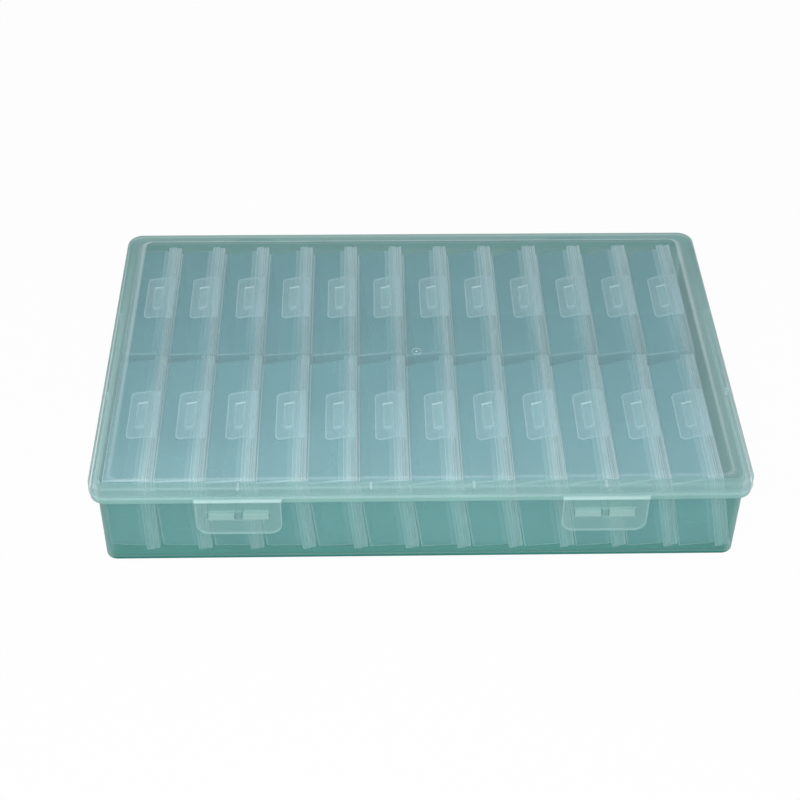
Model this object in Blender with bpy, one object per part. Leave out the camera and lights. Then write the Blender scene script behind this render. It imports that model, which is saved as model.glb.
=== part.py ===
"""Craft storage box: a flat clear box with a hinged lid and two snap latches, filled with small hinged cases.

The cases stand on their hinge edges in two rows and lean on one another. The box is sized around them.
Front is -Y, up is +Z, and the ground is z = 0. All sizes are in metres.
"""

from math import cos, exp, pi, radians, sin

import bmesh
import bpy
from mathutils import Vector

# Small case, measured over its rim, with its thickness from the tray's face to the lid's face
CASE_LENGTH = 0.1
CASE_HEIGHT = 0.0496
TRAY_DEPTH = 0.01845
TRAY_RIM_THICK = 0.0022
CASE_SEAM = 0.0003
CASE_LID_DEPTH = 0.0041
CASE_WALL = 0.0012
CASE_CORNER = 0.0022
RIM_REACH = 0.0014
RIM_END_REACH = 0.0019
TRAY_TAPER = 0.0006
TRAY_CORNER = 0.002
TRAY_EDGE = 0.0012
CASE_LID_EDGE = 0.001

# Latch tab of a small case, its window and the tray's lug in it
TAB_LENGTH = 0.0365
TAB_REACH = 0.016
TAB_THICK = 0.0009
TAB_CORNER = 0.0026
TAB_ROOT_DEPTH = 0.0006
TAB_WINDOW_LENGTH = 0.0184
TAB_WINDOW_WIDTH = 0.0046
TAB_WINDOW_IN = 0.0046
TAB_WINDOW_SHIFT = 0.0006
TAB_LUG_PLAY = 0.0005
TAB_LUG_LENGTH = 0.0148
TAB_LUG_SINK = 0.0002

# Hinge feet under a small case
FOOT_SPREAD = 0.032
FOOT_LENGTH = 0.006
FOOT_DROP = 0.0008
FOOT_INSET = 0.0003
FOOT_GAP = 0.0006

# Rows of cases and the room round them
CASES_PER_ROW = 12
LEAN_FIRST = radians(0.5)
NEAR_LEAN_LAST = radians(11)
FAR_LEAN_LAST = radians(9)
LEAN_EASE = 1.6
CASE_GAP_FIRST = 0.0003
NEAR_GAP_LAST = 0.00095
FAR_GAP_LAST = 0.0012
STAND_GAP = 0.0003
ROW_GAP = 0.0005
ROW_DRIFT = 0.0024
FRONT_PLAY = 0.0003
BACK_PLAY = 0.0003
LEFT_PLAY = 0.0003
RIGHT_PLAY = 0.0009
TOP_PLAY = 0.0009

# Box base
BODY_WALL = 0.0014
FLOOR_THICK = 0.0019
BODY_TAPER = 0.0004
BODY_CORNER = 0.005
BODY_EDGE = 0.0035
SIDE_INSET = 0.004
FRONT_INSET = 0.0055
FLANGE_INSET = 0.0007
FLANGE_THICK = 0.003
SEAT_GAP = 0.0003
RIM_GAP = 0.0006

# Box lid
LID_WALL = 0.0015
LID_CORNER = 0.009
LID_EDGE = 0.0018
SKIRT_HEIGHT = 0.0073
BEAD_HEIGHT = 0.0011
BEAD_REACH = 0.0003
BORDER_SIDE = 0.009
BORDER_FRONT = 0.0057
BORDER_BACK = 0.0085
PANEL_CORNER = 0.0045
PANEL_RISE = 0.001
PANEL_STEP = 0.0008
RIB_THICK = 0.0011
RIB_DROP = 0.0042
RIB_PLAY = 0.0004
RIB_OFFSETS = (0.0255, 0.0912)
SIDE_RIB_OFFSET = 0.034

# Rear hinge of the box
HINGE_OFFSET = 0.0914
KNUCKLE_LENGTH = 0.020
KNUCKLE_WALL = 0.0012
KNUCKLE_GAP = 0.0004
PIN_RADIUS = 0.0012
LUG_RADIUS = 0.0024
LUG_WIDTH = 0.004
LUG_DROP = 0.005
WEB_RISE = 0.0042

# Front latches of the box
LATCH_OFFSET = 0.0914
LATCH_WIDTH = 0.0428
LATCH_DROP = 0.0223
LATCH_THICK = 0.0013
LATCH_CORNER = 0.0065
LATCH_GAP = 0.0003
BAR_RADIUS = 0.00105
BAR_OVERHANG = 0.0003
BAR_RISE = 0.0001
WINDOW_WIDTH = 0.0138
WINDOW_HEIGHT = 0.0052
WINDOW_DROP = 0.0072
WINDOW_BRIDGE = 0.0033
CATCH_PLAY = 0.0004
CATCH_RAMP = 0.0014

# Shared by every joined or cut shape
OVERLAP = 0.0008
OVERRUN = 0.002

# Points on rounded shapes
BOX_CORNER_STEPS = 6
CASE_CORNER_STEPS = 2
EDGE_STEPS = 3
ROUND_STEPS = 20

# Sizes that follow from the small case
END_EXTRA = RIM_END_REACH - RIM_REACH
TRAY_RIM_FACE = TRAY_DEPTH + TRAY_RIM_THICK
CASE_LID_BACK = TRAY_RIM_FACE + CASE_SEAM
CASE_THICK = CASE_LID_BACK + CASE_LID_DEPTH
TAB_UNDER = CASE_HEIGHT + CASE_SEAM
TAB_TOP = TAB_UNDER + TAB_THICK
TRAY_FACE_LOW = RIM_REACH + TRAY_TAPER
TRAY_FACE_HIGH = CASE_HEIGHT - TRAY_FACE_LOW


def row_share(place):
    """How far along its row a case stands, from 0 to 1."""
    return place / max(CASES_PER_ROW - 1, 1)


def lean_of(place, lean_last):
    """Lean of the case at this place in its row: it grows fast at first and then levels off."""
    grown = (1 - exp(-LEAN_EASE * row_share(place))) / (1 - exp(-LEAN_EASE))
    return LEAN_FIRST + (lean_last - LEAN_FIRST) * grown


def standing_height(lean):
    """Height of a case's own origin when its lowest corner, tray face or hinge foot, stands on the floor."""
    face_corner = TRAY_FACE_LOW * cos(lean)
    foot_corner = (TRAY_DEPTH + FOOT_INSET) * sin(lean) - FOOT_DROP * cos(lean)
    return FLOOR_THICK + STAND_GAP - min(face_corner, foot_corner)


def row_places(lean_last, gap_last):
    """(x, z, lean) of each case in a row, from its left end, where each one leans on the one before."""
    lean = lean_of(0, lean_last)
    x = TRAY_FACE_HIGH * sin(lean)
    z = standing_height(lean)
    places = [(x, z, lean)]
    for place in range(1, CASES_PER_ROW):
        before, x_before, z_before = lean, x, z
        lean = lean_of(place, lean_last)
        z = standing_height(lean)
        rise = z + TRAY_FACE_HIGH * cos(lean) - z_before
        gap = CASE_GAP_FIRST + (gap_last - CASE_GAP_FIRST) * row_share(place)
        step = (CASE_THICK + gap - rise * sin(before)) / cos(before)
        x = x_before + TRAY_FACE_HIGH * sin(lean) + step
        places.append((x, z, lean))
    return places


NEAR_PLACES = row_places(NEAR_LEAN_LAST, NEAR_GAP_LAST)
FAR_PLACES = row_places(FAR_LEAN_LAST, FAR_GAP_LAST)
ALL_PLACES = NEAR_PLACES + FAR_PLACES
ROW_LENGTH = max(x + CASE_THICK * cos(lean) for x, z, lean in ALL_PLACES)
HIGHEST_TAB = max(z + CASE_THICK * sin(lean) + TAB_TOP * cos(lean) for x, z, lean in ALL_PLACES)

# Sizes of the box that follow from its rows of cases
INNER_WIDTH = ROW_LENGTH + LEFT_PLAY + RIGHT_PLAY
INNER_DEPTH = 2 * CASE_LENGTH + FRONT_PLAY + ROW_DRIFT + ROW_GAP + BACK_PLAY
BODY_WIDTH = INNER_WIDTH + 2 * (BODY_TAPER + BODY_WALL)
BODY_DEPTH = INNER_DEPTH + 2 * (BODY_TAPER + BODY_WALL)
LID_WIDTH = BODY_WIDTH + 2 * SIDE_INSET
LID_DEPTH = BODY_DEPTH + 2 * FRONT_INSET
BORDER_TOP = HIGHEST_TAB + TOP_PLAY + LID_WALL - PANEL_RISE
SKIRT_BOTTOM = BORDER_TOP - SKIRT_HEIGHT
FLANGE_TOP = SKIRT_BOTTOM - SEAT_GAP
FLANGE_BOTTOM = FLANGE_TOP - FLANGE_THICK
RIM_TOP = BORDER_TOP - LID_WALL - RIM_GAP
LID_HALF_DEPTH = LID_DEPTH / 2
BODY_HALF_DEPTH = BODY_DEPTH / 2

# Places of the hinge axes in the box's own frame
BORE_RADIUS = PIN_RADIUS + KNUCKLE_GAP
KNUCKLE_RADIUS = BORE_RADIUS + KNUCKLE_WALL
HINGE_Y = LID_HALF_DEPTH - FLANGE_INSET + KNUCKLE_GAP + KNUCKLE_RADIUS
HINGE_Z = FLANGE_TOP - LUG_RADIUS
LATCH_Y = -LID_HALF_DEPTH - LATCH_GAP - BAR_RADIUS
LATCH_Z = SKIRT_BOTTOM + BAR_RISE

# The frame's origin lies under the middle of everything, hinge knuckles and latch bars included
BACK_REACH = HINGE_Y + KNUCKLE_RADIUS
FRONT_REACH = BAR_RADIUS - LATCH_Y
MIDDLE_SHIFT = (FRONT_REACH - BACK_REACH) / 2


def clear_scene():
    for obj in list(bpy.data.objects):
        bpy.data.objects.remove(obj, do_unlink=True)


def plastic(name, colour, roughness, alpha):
    """Principled material of one moulded piece."""
    material = bpy.data.materials.new(name)
    material.use_nodes = True
    shader = material.node_tree.nodes["Principled BSDF"]
    shader.inputs["Base Color"].default_value = (*colour, 1)
    shader.inputs["Roughness"].default_value = roughness
    shader.inputs["Metallic"].default_value = 0
    shader.inputs["Alpha"].default_value = alpha
    material.diffuse_color = (*colour, alpha)
    return material


def arc(radius, start, end, steps):
    """Points of an arc round zero, both ends included."""
    angles = [start + (end - start) * step / steps for step in range(steps + 1)]
    return [(radius * cos(angle), radius * sin(angle)) for angle in angles]


def rounded_outline(length, breadth, radius, steps):
    """A rectangle with round corners, counter-clockwise round zero."""
    outline = []
    for corner, (side, end) in enumerate(((1, 1), (-1, 1), (-1, -1), (1, -1))):
        for a, b in arc(radius, corner * pi / 2, (corner + 1) * pi / 2, steps):
            outline.append((side * (length / 2 - radius) + a, end * (breadth / 2 - radius) + b))
    return outline


def level_ring(outline, z):
    return [Vector((a, b, z)) for a, b in outline]


def side_ring(outline, x):
    """An outline set upright across X."""
    return [Vector((x, a, b)) for a, b in outline]


def front_ring(outline, y):
    """An outline set upright across Y."""
    return [Vector((a, y, b)) for a, b in outline]


def add_skin(mesh, rings):
    """Adds a closed body: faces from each ring to the next, and a face on both ends."""
    rows = [[mesh.verts.new(point) for point in ring] for ring in rings]
    for low, high in zip(rows, rows[1:]):
        for i in range(len(low)):
            after = (i + 1) % len(low)
            mesh.faces.new((low[i], low[after], high[after], high[i]))
    mesh.faces.new(rows[0])
    mesh.faces.new(rows[-1])


def add_block(mesh, low, high):
    """Adds a box between two corners."""
    outline = ((low[0], low[1]), (high[0], low[1]), (high[0], high[1]), (low[0], high[1]))
    add_skin(mesh, (level_ring(outline, low[2]), level_ring(outline, high[2])))


def make_object(name, mesh, origin, parent=None):
    """An object with its origin at a point of the box's frame, from a mesh drawn in that frame."""
    bmesh.ops.recalc_face_normals(mesh, faces=mesh.faces)
    bmesh.ops.translate(mesh, verts=mesh.verts, vec=-origin)
    data = bpy.data.meshes.new(name)
    mesh.to_mesh(data)
    mesh.free()
    obj = bpy.data.objects.new(name, data)
    bpy.context.scene.collection.objects.link(obj)
    obj.location = origin
    obj.parent = parent
    return obj


def boolean(obj, other, operation):
    """Joins a helper to an object or cuts it away, and keeps the helper out of renders."""
    modifier = obj.modifiers.new(other.name, "BOOLEAN")
    modifier.operation = operation
    modifier.solver = "EXACT"
    modifier.object = other
    other.hide_render = True
    other.display_type = "WIRE"


def finish(obj, material):
    obj.data.materials.append(material)
    obj.data.shade_smooth()
    obj.data.set_sharp_from_angle(angle=radians(28))


# Small cases


def case_ring(inset, x, corner, end_inset=0):
    """A ring round a case at this distance from the tray's face, set in from the rim's outline."""
    length = CASE_LENGTH - 2 * (inset + end_inset)
    outline = rounded_outline(length, CASE_HEIGHT - 2 * inset, corner, CASE_CORNER_STEPS)
    return side_ring([(a, b + CASE_HEIGHT / 2) for a, b in outline], x)


def add_feet(mesh, y, x_low, x_high):
    """Adds a pair of hinge feet that stick out under the case."""
    for side in (-1, 1):
        ends = sorted((side * y, side * (y + FOOT_LENGTH)))
        add_block(mesh, (x_low, ends[0], -FOOT_DROP), (x_high, ends[1], OVERLAP))


def tray_shell():
    """The tray: a drafted open box with a rounded face, and a flat rim round its mouth."""
    face = RIM_REACH + TRAY_TAPER
    inner_corner = TRAY_CORNER - CASE_WALL
    rings = []
    for a, b in reversed(arc(TRAY_EDGE, 0, pi / 2, EDGE_STEPS - 1)):
        inset = face + TRAY_EDGE - a
        rings.append(case_ring(inset, TRAY_EDGE - b, TRAY_CORNER, END_EXTRA))
    rings.append(case_ring(RIM_REACH, TRAY_DEPTH, TRAY_CORNER, END_EXTRA))
    rings.append(case_ring(0, TRAY_DEPTH, CASE_CORNER))
    rings.append(case_ring(0, TRAY_RIM_FACE, CASE_CORNER))
    inner_edge = TRAY_EDGE / 2
    for inset, x in (
        (RIM_REACH, TRAY_RIM_FACE),
        (face, CASE_WALL + inner_edge),
        (face + inner_edge, CASE_WALL),
    ):
        rings.append(case_ring(inset + CASE_WALL, x, inner_corner, END_EXTRA))
    mesh = bmesh.new()
    add_skin(mesh, rings)
    return mesh


def window_ends():
    """Where the tab's window begins and ends across the case's thickness, and its near and far ends."""
    start = CASE_THICK - TAB_REACH + TAB_WINDOW_IN
    half = TAB_WINDOW_LENGTH / 2
    return start, start + TAB_WINDOW_WIDTH, -half - TAB_WINDOW_SHIFT, half - TAB_WINDOW_SHIFT


def tray_extras():
    """The lug that snaps into the tab's window, and the tray's hinge feet."""
    start, end, _, far = window_ends()
    low = CASE_HEIGHT - TRAY_FACE_LOW - CASE_WALL / 2
    mesh = bmesh.new()
    add_block(
        mesh,
        (start + TAB_LUG_PLAY, far - TAB_LUG_PLAY - TAB_LUG_LENGTH, low),
        (end - TAB_LUG_PLAY, far - TAB_LUG_PLAY, TAB_TOP - TAB_LUG_SINK),
    )
    add_feet(mesh, FOOT_SPREAD, TRAY_DEPTH + FOOT_INSET, TRAY_RIM_FACE - FOOT_INSET)
    return mesh


def case_lid_shell():
    """The case's lid: a shallow cap with a rounded face."""
    rings = []
    for a, b in reversed(arc(CASE_LID_EDGE, 0, pi / 2, EDGE_STEPS - 1)):
        rings.append(case_ring(CASE_LID_EDGE - a, CASE_THICK - CASE_LID_EDGE + b, CASE_CORNER))
    rings.append(case_ring(0, CASE_LID_BACK, CASE_CORNER))
    inner_corner = CASE_CORNER - CASE_WALL
    rings.append(case_ring(CASE_WALL, CASE_LID_BACK, inner_corner))
    rings.append(case_ring(CASE_WALL, CASE_THICK - CASE_WALL, inner_corner))
    mesh = bmesh.new()
    add_skin(mesh, rings)
    return mesh


def case_lid_extras():
    """The latch tab that folds over the tray, and the lid's hinge feet."""
    root = CASE_LID_BACK + CASE_SEAM
    end = CASE_THICK - CASE_SEAM
    root_low = CASE_HEIGHT - TAB_ROOT_DEPTH
    rings = []
    for side in (-1, 1):
        corner = arc(TAB_CORNER, 0, pi / 2, EDGE_STEPS - 1)
        for a, b in corner if side < 0 else reversed(corner):
            y = side * (TAB_LENGTH / 2 - TAB_CORNER + a)
            free = CASE_THICK - TAB_REACH + TAB_CORNER - b
            section = (
                (free, TAB_UNDER),
                (root, TAB_UNDER),
                (root, root_low),
                (end, root_low),
                (end, TAB_TOP),
                (free, TAB_TOP),
            )
            rings.append(front_ring(section, y))
    mesh = bmesh.new()
    add_skin(mesh, rings)
    y = FOOT_SPREAD - FOOT_LENGTH - FOOT_GAP
    add_feet(mesh, y, CASE_LID_BACK + FOOT_INSET, CASE_THICK - CASE_LID_EDGE - FOOT_INSET)
    return mesh


def tab_window():
    start, end, near, far = window_ends()
    mesh = bmesh.new()
    add_block(mesh, (start, near, TAB_UNDER - OVERLAP), (end, far, TAB_TOP + OVERRUN))
    return mesh


def joined_mesh(name, shell, changes):
    """One mesh from a shell and the helpers that are joined to it or cut from it."""
    zero = Vector((0, 0, 0))
    whole = make_object(name, shell, zero)
    helpers = []
    for operation, shape in changes:
        helper = make_object(name + "_" + operation.lower(), shape, zero)
        boolean(whole, helper, operation)
        helpers.append(helper)
    graph = bpy.context.evaluated_depsgraph_get()
    mesh = bpy.data.meshes.new_from_object(whole.evaluated_get(graph))
    mesh.name = name
    for obj in (whole, *helpers):
        bpy.data.objects.remove(obj, do_unlink=True)
    return mesh


def build_cases(parent):
    """Two rows of cases, each with a tray and a lid of its own."""
    tray = joined_mesh("case_tray", tray_shell(), [("UNION", tray_extras())])
    changes = [("UNION", case_lid_extras()), ("DIFFERENCE", tab_window())]
    lid = joined_mesh("case_lid", case_lid_shell(), changes)
    tray_plastic = plastic("tray_plastic", (0.42, 0.66, 0.68), 0.32, 0.55)
    lid_plastic = plastic("case_lid_plastic", (0.50, 0.70, 0.73), 0.30, 0.6)
    near = -INNER_DEPTH / 2 + FRONT_PLAY + CASE_LENGTH / 2
    far = INNER_DEPTH / 2 - BACK_PLAY - CASE_LENGTH / 2
    rows = (("near", NEAR_PLACES, near, ROW_DRIFT), ("far", FAR_PLACES, far, 0))
    for mesh, material in ((tray, tray_plastic), (lid, lid_plastic)):
        mesh.materials.clear()
        mesh.materials.append(material)
        mesh.shade_smooth()
        mesh.set_sharp_from_angle(angle=radians(28))
    for row, places, y_last, drift in rows:
        for place, (x, z, lean) in enumerate(places):
            y = y_last + drift * (1 - row_share(place))
            for kind, mesh in (("tray", tray), ("lid", lid)):
                name = f"case_{row}_{place + 1:02d}_{kind}"
                obj = bpy.data.objects.new(name, mesh)
                bpy.context.scene.collection.objects.link(obj)
                obj.parent = parent
                obj.location = (x + LEFT_PLAY - INNER_WIDTH / 2, y, z)
                obj.rotation_euler = (0, -lean, 0)


# Box base


def body_ring(inset, z, corner):
    outline = rounded_outline(
        BODY_WIDTH - 2 * inset, BODY_DEPTH - 2 * inset, corner, BOX_CORNER_STEPS
    )
    return level_ring(outline, z)


def base_shell():
    """The base: a drafted tray with a round bottom edge, a flange under the lid and a rim inside it."""
    inner_edge = BODY_EDGE - BODY_WALL
    inner_corner = BODY_CORNER - BODY_WALL
    flange_corner = LID_CORNER - FLANGE_INSET
    rings = []
    for a, b in reversed(arc(BODY_EDGE, 0, pi / 2, EDGE_STEPS)):
        rings.append(body_ring(BODY_TAPER + BODY_EDGE - a, BODY_EDGE - b, BODY_CORNER))
    rings.append(body_ring(0, FLANGE_BOTTOM, BODY_CORNER))
    rings.append(lid_ring(FLANGE_INSET, FLANGE_BOTTOM, flange_corner))
    rings.append(lid_ring(FLANGE_INSET, FLANGE_TOP, flange_corner))
    rings.append(body_ring(0, FLANGE_TOP, BODY_CORNER))
    rings.append(body_ring(0, RIM_TOP, BODY_CORNER))
    rings.append(body_ring(BODY_WALL, RIM_TOP, inner_corner))
    for a, b in arc(inner_edge, 0, pi / 2, EDGE_STEPS - 1):
        inset = BODY_TAPER + BODY_WALL + inner_edge - a
        rings.append(body_ring(inset, FLOOR_THICK + inner_edge - b, inner_corner))
    mesh = bmesh.new()
    add_skin(mesh, rings)
    return mesh


def add_hinge_lugs(mesh, middle):
    """Adds the pair of lugs that hold one hinge pin behind the base."""
    wall = BODY_HALF_DEPTH - OVERLAP
    outline = [(wall, FLANGE_TOP - OVERLAP), (HINGE_Y - LUG_RADIUS, FLANGE_TOP - OVERLAP)]
    for a, b in reversed(arc(LUG_RADIUS, -pi / 2, pi / 2, ROUND_STEPS // 2)):
        outline.append((HINGE_Y + a, HINGE_Z + b))
    outline.append((wall, HINGE_Z - LUG_RADIUS - LUG_DROP))
    for side in (-1, 1):
        inner = middle + side * (KNUCKLE_LENGTH / 2 + KNUCKLE_GAP)
        outer = inner + side * LUG_WIDTH
        add_skin(mesh, (side_ring(outline, inner), side_ring(outline, outer)))


def add_pin(mesh, middle):
    """Adds a hinge pin that runs between the lugs."""
    half = KNUCKLE_LENGTH / 2 + KNUCKLE_GAP + OVERLAP
    outline = arc(PIN_RADIUS, 0, 2 * pi, ROUND_STEPS)[:-1]
    outline = [(HINGE_Y + a, HINGE_Z + b) for a, b in outline]
    add_skin(mesh, (side_ring(outline, middle - half), side_ring(outline, middle + half)))


def add_catches(mesh, middle):
    """Adds the two ramped catches that fill one latch's windows."""
    wall = OVERLAP - BODY_HALF_DEPTH
    tip = LATCH_Y - LATCH_THICK / 2
    top = LATCH_Z - WINDOW_DROP - CATCH_PLAY
    bottom = LATCH_Z - WINDOW_DROP - WINDOW_HEIGHT + CATCH_PLAY
    outline = ((wall, bottom), (tip, bottom), (tip, top - CATCH_RAMP), (wall, top))
    for side in (-1, 1):
        inner = middle + side * (WINDOW_BRIDGE / 2 + CATCH_PLAY)
        outer = middle + side * (WINDOW_BRIDGE / 2 + WINDOW_WIDTH - CATCH_PLAY)
        add_skin(mesh, (side_ring(outline, inner), side_ring(outline, outer)))


def build_base(parent):
    zero = Vector((0, 0, 0))
    base = make_object("base", base_shell(), zero, parent)
    lugs = bmesh.new()
    pins = bmesh.new()
    for side in (-1, 1):
        add_hinge_lugs(lugs, side * HINGE_OFFSET)
        add_catches(lugs, side * LATCH_OFFSET)
        add_pin(pins, side * HINGE_OFFSET)
    boolean(base, make_object("base_lugs_join", lugs, zero, parent), "UNION")
    boolean(base, make_object("base_pins_join", pins, zero, parent), "UNION")
    finish(base, plastic("base_plastic", (0.26, 0.55, 0.50), 0.35, 0.5))


# Box lid


def lid_ring(inset, z, corner):
    outline = rounded_outline(
        LID_WIDTH - 2 * inset, LID_DEPTH - 2 * inset, corner, BOX_CORNER_STEPS
    )
    return level_ring(outline, z)


def panel_ring(inset, z):
    """A ring round the lid's raised middle panel, which leaves the borders round it free."""
    width = LID_WIDTH - 2 * (BORDER_SIDE + inset)
    depth = LID_DEPTH - BORDER_FRONT - BORDER_BACK - 2 * inset
    middle = (BORDER_FRONT - BORDER_BACK) / 2
    outline = rounded_outline(width, depth, PANEL_CORNER, BOX_CORNER_STEPS)
    return level_ring([(a, middle + b) for a, b in outline], z)


def lid_shell():
    """The lid: a skirt with a bead on its lower edge, a flat border and a raised panel."""
    under = BORDER_TOP - LID_WALL
    inner = BEAD_REACH + LID_WALL
    inner_corner = LID_CORNER - inner
    bead_top = SKIRT_BOTTOM + BEAD_HEIGHT
    rings = [
        panel_ring(PANEL_STEP, under + PANEL_RISE),
        panel_ring(0, under),
        lid_ring(inner, under, inner_corner),
        lid_ring(inner, SKIRT_BOTTOM, inner_corner),
        lid_ring(0, SKIRT_BOTTOM, LID_CORNER),
        lid_ring(0, bead_top, LID_CORNER),
        lid_ring(BEAD_REACH, bead_top + BEAD_REACH, LID_CORNER - BEAD_REACH),
    ]
    for a, b in arc(LID_EDGE, 0, pi / 2, EDGE_STEPS):
        inset = BEAD_REACH + LID_EDGE - a
        rings.append(lid_ring(inset, BORDER_TOP - LID_EDGE + b, LID_CORNER - inset))
    rings.append(panel_ring(0, BORDER_TOP))
    rings.append(panel_ring(PANEL_STEP, BORDER_TOP + PANEL_RISE))
    mesh = bmesh.new()
    add_skin(mesh, rings)
    return mesh


def add_ribs(mesh):
    """Adds the small ribs between the lid's border and the front and side skirts."""
    high = BORDER_TOP - LID_WALL + OVERLAP
    low = BORDER_TOP - LID_WALL - RIB_DROP
    skirt_y = BEAD_REACH + LID_WALL - LID_HALF_DEPTH
    skirt_x = LID_WIDTH / 2 - BEAD_REACH - LID_WALL
    for x in RIB_OFFSETS:
        for side in (-1, 1):
            ends = sorted((side * x - RIB_THICK / 2, side * x + RIB_THICK / 2))
            add_block(
                mesh,
                (ends[0], skirt_y - OVERLAP, low),
                (ends[1], -BODY_HALF_DEPTH - RIB_PLAY, high),
            )
    for side in (-1, 1):
        ends = sorted((side * (skirt_x + OVERLAP), side * (BODY_WIDTH / 2 + RIB_PLAY)))
        for y in (-SIDE_RIB_OFFSET, SIDE_RIB_OFFSET):
            add_block(
                mesh,
                (ends[0], y - RIB_THICK / 2, low),
                (ends[1], y + RIB_THICK / 2, high),
            )


def add_knuckle(mesh, middle):
    """Adds a hinge knuckle and the web that hangs it from the lid's rear skirt."""
    inside = LID_HALF_DEPTH - BEAD_REACH - OVERLAP
    outline = [(inside, SKIRT_BOTTOM), (inside, SKIRT_BOTTOM + WEB_RISE)]
    for a, b in reversed(arc(KNUCKLE_RADIUS, -pi, pi / 3, ROUND_STEPS)):
        outline.append((HINGE_Y + a, HINGE_Z + b))
    outline.append((HINGE_Y - KNUCKLE_RADIUS, SKIRT_BOTTOM))
    half = KNUCKLE_LENGTH / 2
    add_skin(mesh, (side_ring(outline, middle - half), side_ring(outline, middle + half)))


def add_bore(mesh, middle):
    half = KNUCKLE_LENGTH / 2 + OVERRUN
    outline = arc(BORE_RADIUS, 0, 2 * pi, ROUND_STEPS)[:-1]
    outline = [(HINGE_Y + a, HINGE_Z + b) for a, b in outline]
    add_skin(mesh, (side_ring(outline, middle - half), side_ring(outline, middle + half)))


def build_lid(parent):
    axis = Vector((0, HINGE_Y, HINGE_Z))
    lid = make_object("lid", lid_shell(), axis, parent)
    extras = bmesh.new()
    bores = bmesh.new()
    add_ribs(extras)
    for side in (-1, 1):
        add_knuckle(extras, side * HINGE_OFFSET)
        add_bore(bores, side * HINGE_OFFSET)
    boolean(lid, make_object("lid_extras_join", extras, axis, parent), "UNION")
    boolean(lid, make_object("lid_bores_cut", bores, axis, parent), "DIFFERENCE")
    finish(lid, plastic("lid_plastic", (0.45, 0.68, 0.68), 0.3, 0.5))


# Front latches


def latch_plate(middle):
    """The latch's flat plate, with round lower corners, hanging from its hinge bar."""
    half = LATCH_WIDTH / 2
    low = LATCH_Z - LATCH_DROP
    outline = [(middle + half, LATCH_Z), (middle - half, LATCH_Z)]
    for a, b in arc(LATCH_CORNER, pi, 3 * pi / 2, BOX_CORNER_STEPS):
        outline.append((middle - half + LATCH_CORNER + a, low + LATCH_CORNER + b))
    for a, b in arc(LATCH_CORNER, 3 * pi / 2, 2 * pi, BOX_CORNER_STEPS):
        outline.append((middle + half - LATCH_CORNER + a, low + LATCH_CORNER + b))
    mesh = bmesh.new()
    front = front_ring(outline, LATCH_Y - LATCH_THICK / 2)
    back = front_ring(outline, LATCH_Y + LATCH_THICK / 2)
    add_skin(mesh, (front, back))
    return mesh


def latch_bar(middle):
    half = LATCH_WIDTH / 2 + BAR_OVERHANG
    outline = arc(BAR_RADIUS, 0, 2 * pi, ROUND_STEPS)[:-1]
    outline = [(LATCH_Y + a, LATCH_Z + b) for a, b in outline]
    mesh = bmesh.new()
    add_skin(mesh, (side_ring(outline, middle - half), side_ring(outline, middle + half)))
    return mesh


def latch_windows(middle):
    top = LATCH_Z - WINDOW_DROP
    front = LATCH_Y - LATCH_THICK / 2 - OVERRUN
    back = LATCH_Y + LATCH_THICK / 2 + OVERRUN
    mesh = bmesh.new()
    for side in (-1, 1):
        inner = middle + side * WINDOW_BRIDGE / 2
        ends = sorted((inner, inner + side * WINDOW_WIDTH))
        add_block(mesh, (ends[0], front, top - WINDOW_HEIGHT), (ends[1], back, top))
    return mesh


def build_latches(parent):
    material = plastic("latch_plastic", (0.55, 0.74, 0.74), 0.3, 0.65)
    for name, side in (("latch_left", -1), ("latch_right", 1)):
        middle = side * LATCH_OFFSET
        axis = Vector((middle, LATCH_Y, LATCH_Z))
        latch = make_object(name, latch_plate(middle), axis, parent)
        boolean(latch, make_object(name + "_bar_join", latch_bar(middle), axis, parent), "UNION")
        windows = make_object(name + "_windows_cut", latch_windows(middle), axis, parent)
        boolean(latch, windows, "DIFFERENCE")
        finish(latch, material)


def build():
    clear_scene()
    middle = bpy.data.objects.new("box_middle", None)
    bpy.context.scene.collection.objects.link(middle)
    middle.location = (0, MIDDLE_SHIFT, 0)
    build_base(middle)
    build_lid(middle)
    build_latches(middle)
    build_cases(middle)


build()
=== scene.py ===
"""Looks of a frosted craft storage box: its lid, latches and base, and the small hinged cases standing in it.

Every piece is a surface worked out from the sizes below. Front is -Y, up is +Z. All sizes are in metres.
"""

from math import cos, exp, pi, radians, sin

import bpy
import numpy as np
from mathutils import Matrix


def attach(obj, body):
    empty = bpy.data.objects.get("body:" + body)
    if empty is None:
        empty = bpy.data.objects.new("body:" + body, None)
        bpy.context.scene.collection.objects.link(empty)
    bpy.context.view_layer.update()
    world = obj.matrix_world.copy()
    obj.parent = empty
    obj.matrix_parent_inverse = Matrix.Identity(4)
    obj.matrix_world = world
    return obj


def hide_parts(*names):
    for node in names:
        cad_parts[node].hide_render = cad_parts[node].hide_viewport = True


# Small case, measured over its rim, with its thickness from the tray's face to the lid's face
CASE_LENGTH = 0.1
CASE_HEIGHT = 0.0496
TRAY_DEPTH = 0.01845
TRAY_RIM_THICK = 0.0022
CASE_SEAM = 0.0003
CASE_LID_DEPTH = 0.0041
CASE_WALL = 0.0012
CASE_CORNER = 0.0022
CASE_TOP_CORNER = 0.0013
RIM_REACH = 0.0014
RIM_END_REACH = 0.0019
TRAY_TAPER = 0.0006
TRAY_CORNER = 0.002
TRAY_TOP_CORNER = 0.0013
TRAY_EDGE = 0.0007
RIM_EDGE = 0.0003
RIM_FILL = 0.0002
CASE_LID_EDGE = 0.0005
LID_LIP = 0.0014
LID_STEP = 0.00035
LID_GROOVE = 0.0002

# Swell of a case lid into its gap, the pale band round its face, painted light that lifts the shade in the
# gap, and the soft band of painted light beside the tray's rim
SWELL_SHARE = 0.95
PAINTED_LIGHT_BAND = 0.004
SOFT_BAND = 0.003
SOFT_GLOW = 0.15
SOFT_MILKY = 0.8
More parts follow.
